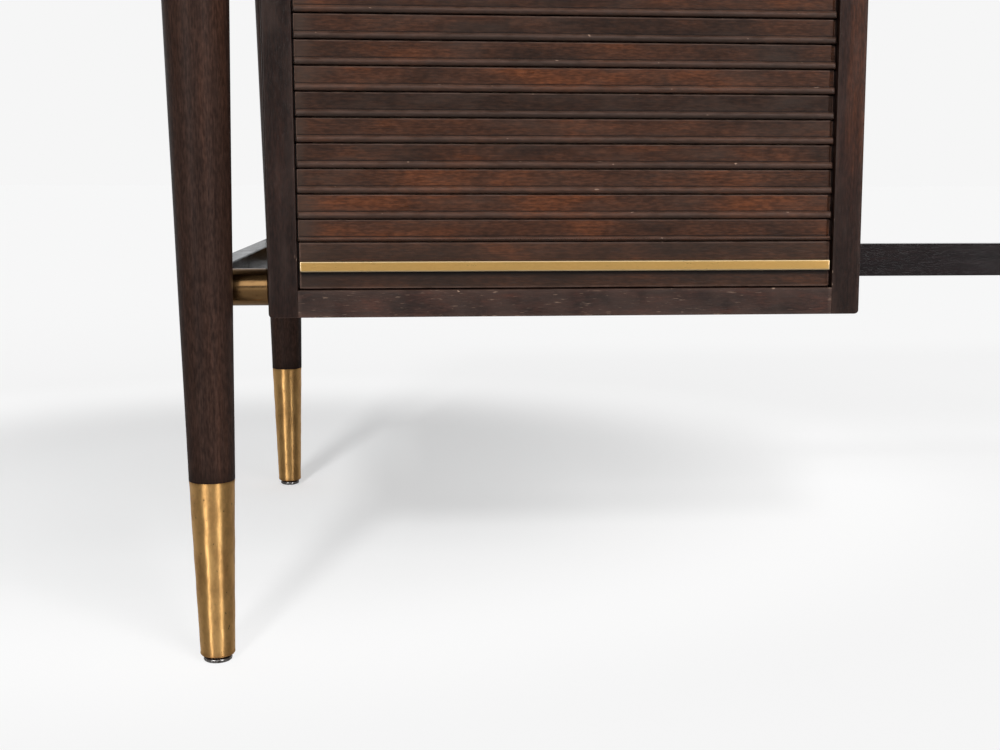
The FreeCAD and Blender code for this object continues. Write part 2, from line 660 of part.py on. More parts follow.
def frieze_back():
    """Apron across the back of the kneehole."""
    return block(
        (CASE_RIGHT, BAY_RIGHT),
        (BAY_BACK, BACK),
        (FRIEZE_Z, TOP_UNDERSIDE),
    )


def runner_wall(side):
    """Face that a drawer runner is screwed to, and which way is into the drawer bay."""
    return (CASE_RIGHT, 1) if side == "left" else (BAY_RIGHT, -1)


def runner_screw_places():
    """(y, z) of the screws of one runner."""
    first, last = RUNNER_Y[0] + RUNNER_SCREW_INSET, RUNNER_Y[1] - RUNNER_SCREW_INSET
    return [(y, RUNNER_Z + RUNNER_HEIGHT / 2) for y in spread(first, last, RUNNER_SCREW_COUNT)]


def runner_screw(side, y, z):
    """Screw through a runner into its wall."""
    wall, into_bay = runner_wall(side)
    seat = point(wall + into_bay * (RUNNER_THICKNESS - RUNNER_SCREW_HEAD_DEPTH), y, z)
    head = rod(RUNNER_SCREW_HEAD_RADIUS, seat, X_AXIS, into_bay * RUNNER_SCREW_HEAD_DEPTH)
    length = RUNNER_THICKNESS - RUNNER_SCREW_HEAD_DEPTH + RUNNER_SCREW_BITE
    return head.fuse(rod(RUNNER_SCREW_RADIUS, seat, X_AXIS, -into_bay * length)).removeSplitter()


def runner_screws(side):
    """Screws of one runner; they are also what it and its wall are drilled with."""
    return [runner_screw(side, y, z) for y, z in runner_screw_places()]


def runner(side):
    """Hardwood strip that a grooved drawer side slides on."""
    wall, into_bay = runner_wall(side)
    solid = block(
        (wall, wall + into_bay * RUNNER_THICKNESS),
        RUNNER_Y,
        (RUNNER_Z, RUNNER_Z + RUNNER_HEIGHT),
    )
    return without(solid, runner_screws(side))


# ---- drawer
def drawer_side_x(side):
    """(outer, inner) faces of a drawer side."""
    if side == "left":
        return DRAWER_LEFT, DRAWER_LEFT + DRAWER_SIDE_THICKNESS
    return DRAWER_RIGHT, DRAWER_RIGHT - DRAWER_SIDE_THICKNESS


def drawer_side(side):
    """Drawer side, grooved outside for its runner and inside for the bottom."""
    outer, inner = drawer_side_x(side)
    into_bay = runner_wall(side)[1]
    y = (DRAWER_FRONT_BACK_Y, DRAWER_BACK_Y)
    solid = block((outer, inner), y, (DRAWER_Z, DRAWER_Z + DRAWER_BOX_HEIGHT))
    depth = RUNNER_THICKNESS - DRAWER_SIDE_CLEARANCE + RUNNER_END_CLEARANCE
    runner_groove = block(
        (outer, outer + into_bay * depth),
        y,
        (RUNNER_Z - RUNNER_BOTTOM_CLEARANCE, RUNNER_Z + RUNNER_HEIGHT + RUNNER_TOP_CLEARANCE),
    )
    bottom_groove = block(
        (inner, inner - into_bay * DRAWER_BOTTOM_IN_SIDES),
        y,
        (DRAWER_FLOOR_Z, DRAWER_FLOOR_Z + DRAWER_BOTTOM_THICKNESS),
    )
    return without(solid, [runner_groove, bottom_groove])


def drawer_front():
    """Drawer front, which covers the bay and carries the brass bar."""
    top = TOP_UNDERSIDE - DRAWER_FRONT_TOP_GAP
    solid = block(DRAWER_FRONT_X, (DRAWER_FRONT_Y, DRAWER_FRONT_BACK_Y), (FRIEZE_Z, top))
    eased = edges_at(solid, X_AXIS, y=DRAWER_FRONT_Y) + edges_at(solid, Z_AXIS, y=DRAWER_FRONT_Y)
    solid = solid.makeFillet(FASCIA_EDGE_RADIUS, eased)
    return without(solid, drawer_bar_screws())


def drawer_back():
    """Drawer back, which stands on the bottom."""
    return block(
        (drawer_side_x("left")[1], drawer_side_x("right")[1]),
        (DRAWER_BACK_Y - DRAWER_SIDE_THICKNESS, DRAWER_BACK_Y),
        (DRAWER_FLOOR_Z + DRAWER_BOTTOM_THICKNESS, DRAWER_Z + DRAWER_BOX_HEIGHT),
    )


def drawer_bottom():
    """Thin bottom in the grooves of the sides, under the back."""
    left, right = drawer_side_x("left")[1], drawer_side_x("right")[1]
    return block(
        (left - DRAWER_BOTTOM_IN_SIDES, right + DRAWER_BOTTOM_IN_SIDES),
        (DRAWER_FRONT_BACK_Y, DRAWER_BACK_Y),
        (DRAWER_FLOOR_Z, DRAWER_FLOOR_Z + DRAWER_BOTTOM_THICKNESS),
    )


def desk_top():
    """Top plate, with rounded corners and eased edges."""
    solid = block(
        (CASE_LEFT - TOP_SIDE_OVERHANG, FRIEZE_RIGHT + TOP_SIDE_OVERHANG),
        (FRONT - TOP_FRONT_OVERHANG, BACK + TOP_FRONT_OVERHANG),
        (TOP_UNDERSIDE, DESK_HEIGHT),
    )
    solid = solid.makeFillet(TOP_CORNER_RADIUS, edges_at(solid, Z_AXIS))
    rims = [edge for edge in solid.Edges if edge.BoundBox.ZLength < 0.01]
    solid = solid.makeFillet(TOP_EDGE_RADIUS, rims)
    rooms = [top_screw_room(*place) for side in LEG_X for place in top_screw_places(side)]
    return without(solid, rooms)


# ---- every node, by name
def build():
    """Shapes of all the nodes, under their names."""
    nodes = {"desk_top": desk_top()}
    feet = []
    for side in LEG_X:
        for end in LEG_Y:
            nodes[f"leg_{end}_{side}"] = leg(side, end)
            nodes[f"sabot_{end}_{side}"] = sabot(side, end)
            feet.append((LEG_X[side], LEG_Y[end]))
        for level in ("lower", "upper"):
            nodes[f"side_rail_{level}_{side}"] = side_rail(side, level)
    nodes["glides"] = grouped([glide(*foot) for foot in feet])
    nodes["glide_washers"] = grouped([washer(*foot) for foot in feet])
    nodes["stretcher"] = stretcher()

    bolts = []
    for side, level in SPACERS:
        for end, (y, z) in bolt_places(side, level).items():
            nodes[f"spacer_{level}_{end}_{side}"] = spacer(side, y, z)
            bolts.append(bolt(side, y, z))
    nodes["spacer_bolts"] = grouped(bolts)
    nodes["top_screws"] = grouped([top_screw(*p) for side in LEG_X for p in top_screw_places(side)])

    nodes["case_side_left"] = case_side("left")
    nodes["case_side_right"] = case_side("right")
    nodes["case_bottom"] = case_bottom()
    nodes["case_top"] = case_top()
    nodes["case_back"] = case_back()
    nodes["fascia"] = fascia()
    nodes["pocket_panel"] = pocket_panel()
    nodes["shelf"] = shelf()
    nodes["shelf_pins"] = shelf_pins()

    for index in range(SLAT_COUNT):
        nodes[f"slat_{index + 1:02d}"] = slat(index)
    nodes["tambour_bottom_rail"] = bottom_rail()
    nodes["tambour_canvas"] = canvas()
    nodes["tambour_bar"] = without(bar(TAMBOUR_BAR_X, FACE_Y, TAMBOUR_BAR_Z), tambour_bar_screws())
    nodes["tambour_bar_screws"] = grouped(tambour_bar_screws())

    nodes["frieze_end"] = frieze_end()
    nodes["frieze_back"] = frieze_back()
    nodes["runner_left"] = runner("left")
    nodes["runner_right"] = runner("right")
    nodes["runner_screws"] = grouped(runner_screws("left") + runner_screws("right"))

    nodes["drawer_front"] = drawer_front()
    nodes["drawer_side_left"] = drawer_side("left")
    nodes["drawer_side_right"] = drawer_side("right")
    nodes["drawer_back"] = drawer_back()
    nodes["drawer_bottom"] = drawer_bottom()
    nodes["drawer_bar"] = without(bar(DRAWER_BAR_X, DRAWER_FRONT_Y, DRAWER_BAR_Z), drawer_bar_screws())
    nodes["drawer_bar_screws"] = grouped(drawer_bar_screws())
    return nodes


os.makedirs("parts", exist_ok=True)
for name, shape in build().items():
    shape.exportStep(f"parts/{name}.step")
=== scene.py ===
"""Looks of a writing desk with a tambour pedestal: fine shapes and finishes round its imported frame."""

import logging
import math
from collections.abc import Callable, Sequence
from dataclasses import dataclass, field
from enum import Enum
from functools import cache
from random import Random

import bmesh
import bpy
from mathutils import Matrix, Vector, noise


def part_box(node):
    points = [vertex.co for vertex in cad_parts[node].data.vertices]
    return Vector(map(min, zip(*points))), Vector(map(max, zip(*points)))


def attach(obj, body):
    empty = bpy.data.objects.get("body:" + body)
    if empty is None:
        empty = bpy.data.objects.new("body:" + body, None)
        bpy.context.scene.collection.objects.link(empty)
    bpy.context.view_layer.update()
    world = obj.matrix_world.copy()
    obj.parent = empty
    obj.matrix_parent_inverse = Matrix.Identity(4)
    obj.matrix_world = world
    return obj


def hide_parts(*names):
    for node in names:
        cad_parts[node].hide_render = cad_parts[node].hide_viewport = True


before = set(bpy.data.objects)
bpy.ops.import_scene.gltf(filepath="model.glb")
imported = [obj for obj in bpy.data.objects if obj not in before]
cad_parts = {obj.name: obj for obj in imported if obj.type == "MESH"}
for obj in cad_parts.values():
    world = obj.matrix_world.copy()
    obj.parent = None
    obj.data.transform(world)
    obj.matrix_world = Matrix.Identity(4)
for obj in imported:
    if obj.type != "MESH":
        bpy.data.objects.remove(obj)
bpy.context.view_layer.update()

MM = 0.001
QUARTER = math.pi / 2

Color = tuple[float, float, float]
Socket = bpy.types.NodeSocket
log = logging.getLogger("desk")


class Axis(Enum):
    """Direction that a piece and its grain run in."""

    X = 0
    Y = 1
    Z = 2

    def place(self, along: float, u: float, v: float) -> Vector:
        """Point so far along the axis, with u and v across it on the next two axes.

        Args:
            along: place on this axis.
            u: place on the axis after it, in the order X, Y, Z, X.
            v: place on the axis after that.

        Returns:
            The point in the desk's frame.
        """
        point = Vector((0.0, 0.0, 0.0))
        point[self.value] = along
        point[(self.value + 1) % 3] = u
        point[(self.value + 2) % 3] = v
        return point

    def split(self, point: Vector) -> tuple[float, float, float]:
        """The along, u and v of a point, as place() takes them."""
        return point[self.value], point[(self.value + 1) % 3], point[(self.value + 2) % 3]


class Side(Enum):
    """Which end of the desk."""

    LEFT = "left"
    RIGHT = "right"

    @property
    def inward(self) -> int:
        """Sign of the X direction towards the middle of the desk."""
        return 1 if self is Side.LEFT else -1


class End(Enum):
    """Front or rear of the desk."""

    FRONT = "front"
    REAR = "rear"


class Level(Enum):
    """Lower or upper rails."""

    LOWER = "lower"
    UPPER = "upper"


class Slot(Enum):
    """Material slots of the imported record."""

    TOP = "top_wood"
    CASE = "case_wood"
    LEG = "leg_wood"
    TAMBOUR = "tambour_wood"
    DRAWER = "drawer_wood"
    BAR = "brass_bar"
    SABOT = "brass_sabot"
    HARDWARE = "brass_hardware"
    SCREW = "steel_screws"
    GLIDE = "steel_glides"
    FIBRE = "fibre"
    CANVAS = "canvas"


def srgb(red: int, green: int, blue: int) -> Color:
    """Scene colour of a display colour.

    Args:
        red: 0 to 255.
        green: 0 to 255.
        blue: 0 to 255.

    Returns:
        The same colour as linear light.
    """
    shares = (red / 255, green / 255, blue / 255)
    return tuple(s / 12.92 if s <= 0.04045 else ((s + 0.055) / 1.055) ** 2.4 for s in shares)


def smoothstep(value: float) -> float:
    """Eased step of a value from 0 to 1."""
    value = min(1.0, max(0.0, value))
    return value * value * (3 - 2 * value)


# ------------------------------------------------------------------ finishes
class Nodes:
    """Writes a tree of shader nodes."""

    def __init__(self, tree: bpy.types.NodeTree) -> None:
        """Starts with an empty tree."""
        self.tree = tree
        self.tree.nodes.clear()

    def new(self, kind: str) -> bpy.types.Node:
        """Adds a node."""
        return self.tree.nodes.new(f"ShaderNode{kind}")

    def feed(self, socket: Socket, value: Socket | float | Sequence[float]) -> None:
        """Links a socket to another, or sets it to a constant.

        Args:
            socket: the input.
            value: another node's output, a number, a vector or a colour.
        """
        if isinstance(value, bpy.types.NodeSocket):
            self.tree.links.new(value, socket)
        elif isinstance(value, (tuple, list)) and len(value) == 3 and socket.type == "RGBA":
            socket.default_value = (*value, 1.0)
        else:
            socket.default_value = value

    def attribute(self, name: str, output: str = "Fac") -> Socket:
        """A mark that the makers leave on their meshes.

        Args:
            name: the mark's name.
            output: which of the node's outputs is taken.

        Returns:
            The mark's value.
        """
        node = self.new("Attribute")
        node.attribute_name = name
        return node.outputs[output]

    def board_place(self, axis: Axis) -> Socket:
        """Place in a carried-over solid, turned so that X runs along its grain.

        Args:
            axis: direction of the grain.

        Returns:
            A vector in metres.
        """
        place = self.new("TexCoord").outputs["Object"]
        parts = self.new("SeparateXYZ")
        self.feed(parts.inputs[0], place)
        joined = self.new("CombineXYZ")
        for index in range(3):
            self.feed(joined.inputs[index], parts.outputs[(axis.value + index) % 3])
        return joined.outputs[0]

    def noise(
        self, place: Socket, size: tuple[float, float], detail: float = 2.0, shift: float = 0.0
    ) -> Socket:
        """Cloudy value about 0.5, drawn out along the grain.

        Args:
            place: where, in metres, with X along the grain.
            size: length along the grain and width across it of one patch, in metres.
            detail: octaves of finer noise.
            shift: moves the pattern, so that two patterns differ.

        Returns:
            A value from 0 to 1.
        """
        scaled = self.new("VectorMath")
        scaled.operation = "MULTIPLY_ADD"
        self.feed(scaled.inputs[0], place)
        scaled.inputs[1].default_value = (1 / size[0], 1 / size[1], 1 / size[1])
        scaled.inputs[2].default_value = (shift, shift * 1.7, shift * 0.6)
        node = self.new("TexNoise")
        self.feed(node.inputs["Vector"], scaled.outputs[0])
        node.inputs["Scale"].default_value = 1.0
        node.inputs["Detail"].default_value = detail
        return node.outputs[0]

    def steps(self, value: Socket, low: float, high: float, to: tuple[float, float] = (0.0, 1.0)) -> Socket:
        """Smooth change from one value to another while the input goes from low to high.

        Args:
            value: the input.
            low: where the change starts.
            high: where it ends, which may be below low.
            to: the value before the change and the value after it.

        Returns:
            The changed value.
        """
        node = self.new("MapRange")
        node.interpolation_type = "SMOOTHSTEP"
        for index, number in enumerate((value, low, high, *to)):
            self.feed(node.inputs[index], number)
        return node.outputs[0]

    def math(self, operation: str, *values: Socket | float) -> Socket:
        """Result of an arithmetic node.

        Args:
            operation: what the node does.
            values: its inputs.

        Returns:
            The result.
        """
        node = self.new("Math")
        node.operation = operation
        for index, value in enumerate(values):
            self.feed(node.inputs[index], value)
        return node.outputs[0]

    def mix(
        self, share: Socket | float, first: Socket | Color, second: Socket | Color, blend: str = "MIX"
    ) -> Socket:
        """Colour between two colours.

        Args:
            share: how much of the second there is, from 0 to 1.
            first: colour at 0.
            second: colour at 1.
            blend: how the second is laid over the first.

        Returns:
            The mixed colour.
        """
        node = self.new("Mix")
        node.data_type = "RGBA"
        node.blend_type = blend
        self.feed(node.inputs["Factor"], share)
        self.feed(node.inputs[6], first)
        self.feed(node.inputs[7], second)
        return node.outputs[2]

    def bump(self, height: Socket, depth: float, under: Socket | None = None) -> Socket:
        """Normal of a surface with this relief.

        Args:
            height: relief from 0 to 1.
            depth: depth of the relief in metres.
            under: normal of a coarser relief below this one.

        Returns:
            The bumped normal.
        """
        node = self.new("Bump")
        node.inputs["Distance"].default_value = depth
        node.inputs["Strength"].default_value = 1.0
        self.feed(node.inputs["Height"], height)
        if under is not None:
            self.feed(node.inputs["Normal"], under)
        return node.outputs[0]


class Shader(Nodes):
    """Writes the node tree of one material with a principled surface."""

    def __init__(self, name: str) -> None:
        """Starts the material.

        Args:
            name: the material's name.
        """
        self.material = bpy.data.materials.new(name)
        self.material.use_nodes = True
        super().__init__(self.material.node_tree)
        self.surface = self.new("BsdfPrincipled")
        self.feed(self.new("OutputMaterial").inputs["Surface"], self.surface.outputs[0])

    def set(self, **inputs: Socket | float | Color) -> None:
        """Feeds inputs of the surface.

        Args:
            inputs: what each is fed, named in lower case with underscores.
        """
        for name, value in inputs.items():
            wanted = name.replace("_", " ").lower()
            socket = next(s for s in self.surface.inputs if s.name.lower() == wanted)
            self.feed(socket, value)


@dataclass(frozen=True)
class WoodFinish:
    """Stained hardwood under old lacquer.

    Attributes:
        name: name of its materials.
        dark: colour of the darkest figure.
        mid: colour of most of it.
        warm: colour where the stain has rubbed thin.
        haze: colour of bloomed lacquer.
        bare: colour of wood worn bare at an arris, which on the tambour's slats also paints a highlight along
            the arrises.
        chipped: colour of a fresh nick.
        soot: colour of dirt in corners, also used as painted shade in the slats' creases, under their lips
            and under the tambour's bar.
        figure: length and width of a patch of figure.
        haze_share: how much bloom there is.
        wear_share: how much of the arrises is worn, which on the tambour also sets how strong their painted
            highlight is.
        roughness: of the lacquer.
        streak: contrast of the fine fibres.
        gloss: strength of the lacquer's reflection.
        fleck: contrast of the short fine flecks.
        knocked: how much of the flat faces is nicked.
    """

    name: str
    dark: Color
    mid: Color
    warm: Color
    haze: Color = srgb(62, 47, 41)
    bare: Color = srgb(86, 66, 57)
    chipped: Color = srgb(136, 112, 96)
    soot: Color = srgb(22, 15, 13)
    figure: tuple[float, float] = (0.10, 0.020)
    haze_share: float = 0.35
    wear_share: float = 0.5
    roughness: float = 0.32
    streak: float = 0.18
    gloss: float = 0.25
    fleck: float = 0.26
    knocked: float = 0.0

    @cache
    def material(self, axis: Axis | None = None) -> bpy.types.Material:
        """Material for shaped pieces, or for carried-over solids with the grain along an axis.

        Args:
            axis: direction of the grain in a carried-over solid, or None for a shaped piece.

        Returns:
            The material.
        """
        shader = Shader(self.name if axis is None else f"{self.name}_along_{axis.name.lower()}")
        place = shader.attribute("grain", "Vector") if axis is None else shader.board_place(axis)
        figure = shader.math("MULTIPLY_ADD", shader.noise(place, self.figure, detail=3.0), 1.25, -0.125)
        fibre = shader.noise(place, (0.045, 0.0011), detail=2.0, shift=3.1)
        mottle = shader.noise(place, (0.007, 0.004), detail=3.0, shift=7.7)
        pores = shader.steps(shader.noise(place, (0.006, 0.00035), detail=0.0, shift=11.3), 0.62, 0.74)
        cloud = shader.noise(place, (0.050, 0.014), detail=3.0, shift=5.9)

        depth = shader.math("MULTIPLY_ADD", shader.attribute("tone"), 0.34, figure)
        color = shader.mix(shader.steps(depth, 0.30, 0.56), self.dark, self.mid)
        color = shader.mix(shader.steps(depth, 0.54, 0.80), color, self.warm)
        shade = shader.steps(fibre, 0.30, 0.70, (1 - self.streak, 1 + self.streak))
        shade = shader.math("MULTIPLY", shade, shader.steps(mottle, 0.30, 0.70, (0.86, 1.14)))
        fleck = shader.noise(place, (0.0055, 0.0013), detail=1.0, shift=15.1)
        fleck = shader.steps(fleck, 0.32, 0.68, (1 - self.fleck, 1 + self.fleck))
        shade = shader.math("MULTIPLY", shade, fleck)
        shade = shader.math("MULTIPLY", shade, shader.steps(pores, 0.0, 1.0, (1.0, 0.75)))
        color = shader.mix(1.0, color, shade, "MULTIPLY")
        bloom = shader.steps(cloud, 0.44, 0.78, (0.0, self.haze_share))
        bloom = shader.math("MAXIMUM", bloom, shader.attribute("haze"))
        color = shader.mix(bloom, color, self.haze)
        # Dirt, and painted shade in the slats' creases, under their lips and under the bar, from the soot
        # mark.
        color = shader.mix(shader.attribute("soot"), color, self.soot)

        # Pale arrises from the wear mark: real wear, and on the slats a painted highlight along the top arris
        # and the lip's upper rounding.
        rub = shader.noise(place, (0.012, 0.004), detail=2.0, shift=2.3)
        rub = shader.steps(rub, 0.30, 0.62, (0.35 * self.wear_share, self.wear_share))
        worn = shader.math("MULTIPLY", shader.attribute("wear"), rub)
        color = shader.mix(worn, color, self.bare)
        chip = shader.steps(shader.noise(place, (0.0060, 0.0026), detail=1.0, shift=6.1), 0.74, 0.78)
        chip = shader.math("MULTIPLY", chip, shader.steps(shader.attribute("wear"), 0.05, 0.35))
        if self.knocked:
            nick = shader.noise(place, (0.0080, 0.0011), detail=2.0, shift=13.7)
            nick = shader.math("MULTIPLY", shader.steps(nick, 0.62, 0.74), shader.steps(cloud, 0.35, 0.60))
            chip = shader.math("MAXIMUM", chip, shader.math("MULTIPLY", nick, self.knocked))
        color = shader.mix(chip, color, self.chipped)

        rough = shader.math("MULTIPLY_ADD", cloud, 0.20, self.roughness - 0.10)
        rough = shader.math("MULTIPLY_ADD", worn, 0.15, rough)
        swell = shader.bump(shader.noise(place, (0.040, 0.010), detail=1.0, shift=9.1), 0.12 * MM)
        relief = shader.math("SUBTRACT", shader.math("MULTIPLY", fibre, 0.6), pores)
        normal = shader.bump(relief, 0.03 * MM, swell)
        shader.set(base_color=color, roughness=rough, normal=normal, specular_ior_level=self.gloss)
        return shader.material


@dataclass(frozen=True)
class BrassFinish:
    """Aged brass, rubbed pale at its arrises and dark in its pits.

    Attributes:
        name: name of its material.
        bright: colour where it is rubbed clean.
        patina: colour of the tarnish.
        patina_share: how much tarnish there is.
        roughness: of the clean metal.
        brushed: depth of the fine lines along the piece, in metres.
        spun: how strongly the lathe's marks draw highlights out along the piece, from 0 to 1.
        pitted: how dark its small pits are, from 0 to 1.
        pit: colour of the pits.
        rubbed: colour of a rubbed arris, which on the bar's bevels is also a painted reflection.
    """

    name: str
    bright: Color = srgb(226, 184, 110)
    patina: Color = srgb(128, 86, 42)
    patina_share: float = 0.5
    roughness: float = 0.30
    brushed: float = 0.02 * MM
    spun: float = 0.0
    pitted: float = 0.8
    pit: Color = srgb(60, 40, 24)
    rubbed: Color = srgb(255, 236, 196)

    @cache
    def material(self) -> bpy.types.Material:
        """The metal's material.

        Returns:
            The material, for shaped pieces.
        """
        shader = Shader(self.name)
        place = shader.attribute("grain", "Vector")
        cloud = shader.noise(place, (0.022, 0.010), detail=4.0, shift=1.3)
        spots = shader.noise(place, (0.0035, 0.0022), detail=2.0, shift=4.2)
        lines = shader.noise(place, (0.060, 0.0004), detail=2.0, shift=8.8)
        tarnish = shader.math("MULTIPLY_ADD", spots, 0.35, shader.math("MULTIPLY", cloud, 0.9))
        tarnish = shader.steps(tarnish, 0.46, 0.86, (0.0, self.patina_share))
        tarnish = shader.math("MAXIMUM", tarnish, shader.math("MULTIPLY", shader.attribute("soot"), 0.85))
        color = shader.mix(tarnish, self.bright, self.patina)
        color = shader.mix(shader.steps(spots, 0.71, 0.78, (0.0, self.pitted)), color, self.pit)
        # Pale rubbed metal where the wear mark is, which on the bar's bevels is also a painted reflection.
        color = shader.mix(shader.math("MULTIPLY", shader.attribute("wear"), 0.8), color, self.rubbed)
        rough = shader.math("MULTIPLY_ADD", tarnish, 0.22, self.roughness)
        rough = shader.math("MULTIPLY_ADD", lines, 0.08, rough)
        swell = shader.bump(shader.noise(place, (0.016, 0.006), detail=2.0, shift=6.6), 0.10 * MM)
        normal = shader.bump(lines, self.brushed, swell)
        shader.set(base_color=color, metallic=1.0, roughness=rough, normal=normal)
        if self.spun:
            tangent = shader.new("Tangent")
            tangent.direction_type, tangent.axis = "RADIAL", "Z"
            shader.set(tangent=tangent.outputs[0], anisotropic=self.spun, anisotropic_rotation=0.25)
        return shader.material


@dataclass(frozen=True)
class PlainFinish:
    """Small hardware, fibre and cloth: a mottled colour with fine relief.

    Attributes:
        name: name of its material.
        color: main colour.
        shade: colour of the mottling.
        metallic: 1 for metal.
        roughness: of the surface.
        grain: length and width of one mottle.
        relief: depth of the relief, in metres.
        woven: whether the relief is a plain weave.
        thread: width of one thread of the weave.
    """

    name: str
    color: Color
    # shade: colour of the mottling, and the painted shade between a weave's threads.
    shade: Color
    metallic: float = 0.0
    roughness: float = 0.5
    grain: tuple[float, float] = (0.004, 0.002)
    relief: float = 0.02 * MM
    woven: bool = False
    thread: float = 0.0009

    @cache
    def material(self) -> bpy.types.Material:
        """The mottled material.

        Returns:
            The material, for shaped pieces.
        """
        shader = Shader(self.name)
        place = shader.attribute("grain", "Vector")
        mottle = shader.noise(place, self.grain, detail=3.0)
        color = shader.mix(shader.steps(mottle, 0.35, 0.70), self.color, self.shade)
        height = mottle
        if self.woven:
            parts = shader.new("SeparateXYZ")
            shader.feed(parts.inputs[0], place)
            turns = math.pi / self.thread
            warp = shader.math("SINE", shader.math("MULTIPLY", parts.outputs[0], turns))
            weft = shader.math("SINE", shader.math("MULTIPLY", parts.outputs[2], turns))
            weave = shader.math("MULTIPLY", warp, weft)
            height = shader.math("MULTIPLY_ADD", weave, 0.5, 0.5)
            # Darkens the weave's low points with the mottling colour: painted shade between the threads.
            color = shader.mix(shader.steps(height, 0.1, 0.9, (0.35, 0.0)), color, self.shade)
        rough = shader.math("MULTIPLY_ADD", mottle, 0.15, self.roughness - 0.07)
        normal = shader.bump(height, self.relief)
        shader.set(base_color=color, metallic=self.metallic, roughness=rough, normal=normal)
        return shader.material


TAMBOUR_WOOD = WoodFinish(
    "tambour_walnut",
    srgb(41, 25, 17),
    srgb(59, 35, 23),
    srgb(82, 45, 25),
    haze=srgb(58, 46, 39),
    bare=srgb(108, 86, 77),
    figure=(0.075, 0.026),
    haze_share=0.4,
    wear_share=0.75,
    gloss=0.2,
)
BOARD_WOOD = WoodFinish(
    "board_walnut",
    srgb(28, 20, 18),
    srgb(46, 28, 23),
    srgb(70, 38, 28),
    figure=(0.035, 0.010),
    knocked=0.55,
)
CASE_WOOD = WoodFinish(
    "case_walnut",
    srgb(29, 17, 13),
    srgb(39, 22, 16),
    srgb(68, 36, 20),
    figure=(0.20, 0.020),
    gloss=0.2,
)
PANEL_WOOD = WoodFinish(
    "panel_walnut",
    srgb(33, 19, 15),
    srgb(42, 25, 19),
    srgb(58, 34, 23),
    figure=(0.30, 0.016),
    haze_share=0.25,
    roughness=0.42,
    gloss=0.18,
)
LEG_WOOD = WoodFinish(
    "leg_walnut",
    srgb(40, 27, 22),
    srgb(47, 32, 26),
    srgb(55, 36, 28),
    figure=(0.22, 0.012),
    haze_share=0.1,
    roughness=0.42,
    gloss=0.08,
)
RAIL_WOOD = WoodFinish(
    "rail_walnut",
    srgb(15, 8, 9),
    srgb(19, 10, 11),
    srgb(27, 14, 13),
    haze=srgb(30, 22, 22),
    figure=(0.20, 0.010),
    haze_share=0.15,
    roughness=0.20,
    gloss=0.28,
)
TOP_WOOD = WoodFinish(
    "top_walnut",
    srgb(36, 22, 16),
    srgb(48, 29, 21),
    srgb(64, 37, 24),
    figure=(0.45, 0.022),
    haze_share=0.2,
    roughness=0.52,
    gloss=0.12,
)
INNER_WOOD = WoodFinish(
    "inner_maple",
    srgb(92, 60, 36),
    srgb(116, 80, 50),
    srgb(138, 98, 62),
    haze=srgb(104, 80, 58),
    haze_share=0.1,
    roughness=0.5,
)
BAR_BRASS = BrassFinish(
    "bar_brass",
    srgb(228, 182, 108),
    srgb(200, 150, 84),
    patina_share=0.35,
    roughness=0.24,
    brushed=0.002 * MM,
    pitted=0.1,
)
SABOT_BRASS = BrassFinish(
    "sabot_brass",
    srgb(246, 196, 126),
    srgb(172, 118, 70),
    patina_share=0.4,
    roughness=0.42,
    spun=0.92,
)
SMALL_BRASS = BrassFinish(
    "small_brass",
    srgb(160, 124, 82),
    srgb(128, 92, 60),
    patina_share=0.5,
    roughness=0.11,
)
STEEL = PlainFinish("screw_steel", srgb(150, 148, 146), srgb(96, 92, 90), metallic=1.0, roughness=0.42)
GLIDE_STEEL = PlainFinish("glide_steel", srgb(170, 168, 166), srgb(104, 98, 94), metallic=1.0, roughness=0.28)
DARK_FIBRE = PlainFinish("dark_fibre", srgb(30, 24, 22), srgb(18, 14, 13), roughness=0.8)
CANVAS_CLOTH = PlainFinish(
    "canvas_cloth",
    srgb(168, 152, 122),
    srgb(120, 104, 80),
    roughness=0.9,
    relief=0.25 * MM,
    woven=True,
)


# ------------------------------------------------------------------ making meshes
@dataclass(frozen=True)
class Corner:
    """Corner of a section.

    Attributes:
        u: place across the piece.
        v: place across the piece, the other way.
        radius: how much the arris is eased.
        wear: how worn the arris is, and how strong a painted highlight it takes, from 0 to 1.
        soot: how dark it is with dirt and painted shade, from 0 to 1.
    """

    u: float
    v: float
    radius: float = 0.5 * MM
    wear: float = 0.6
    soot: float = 0.0


@dataclass(frozen=True)
class Spot:
    """Point of an eased section, with its marks.

    Attributes:
        u: place across the piece.
        v: place across the piece, the other way.
        wear: how worn it is, and how strong a painted highlight it takes, from 0 to 1.
        soot: how dark it is with dirt and painted shade, from 0 to 1.
    """

    u: float
    v: float
    wear: float
    soot: float


@dataclass(frozen=True)
class Ring:
    """Ring of a turned piece.

    Attributes:
        radius: of the ring; 0 closes the piece.
        along: its place on the axis.
        wear: how worn it is, from 0 to 1.
        soot: how dark with dirt it is, from 0 to 1.
    """

    radius: float
    along: float
    wear: float = 0.0
    soot: float = 0.0


@dataclass(frozen=True)
class Cut:
    """Place along a moulding where its section is set.

    Attributes:
        along: the place.
        inset: how much the section shrinks there, on every side.
        wear: how worn it is there, from 0 to 1.
    """

    along: float
    inset: float = 0.0
    wear: float = 0.0


def oblong(low: Sequence[float], high: Sequence[float], **marks: float) -> list[Corner]:
    """Corners of an oblong section.

    Args:
        low: its least u and v.
        high: its greatest u and v.
        marks: what else every corner has, named as in Corner.

    Returns:
        The four corners in order.
    """
    around = ((low[0], low[1]), (high[0], low[1]), (high[0], high[1]), (low[0], high[1]))
    return [Corner(u, v, **marks) for u, v in around]


def bend(share: float) -> tuple[float, float]:
    """How far a quarter round has gone out and up at a share of its turn, each from 0 to 1."""
    return math.sin(QUARTER * share), 1 - math.cos(QUARTER * share)


def tuck(radius: float, inside: float) -> float:
    """How far a rounded arris draws in, so far inside the end that it rounds."""
    return radius - math.sqrt(max(0.0, radius**2 - (radius - inside) ** 2))


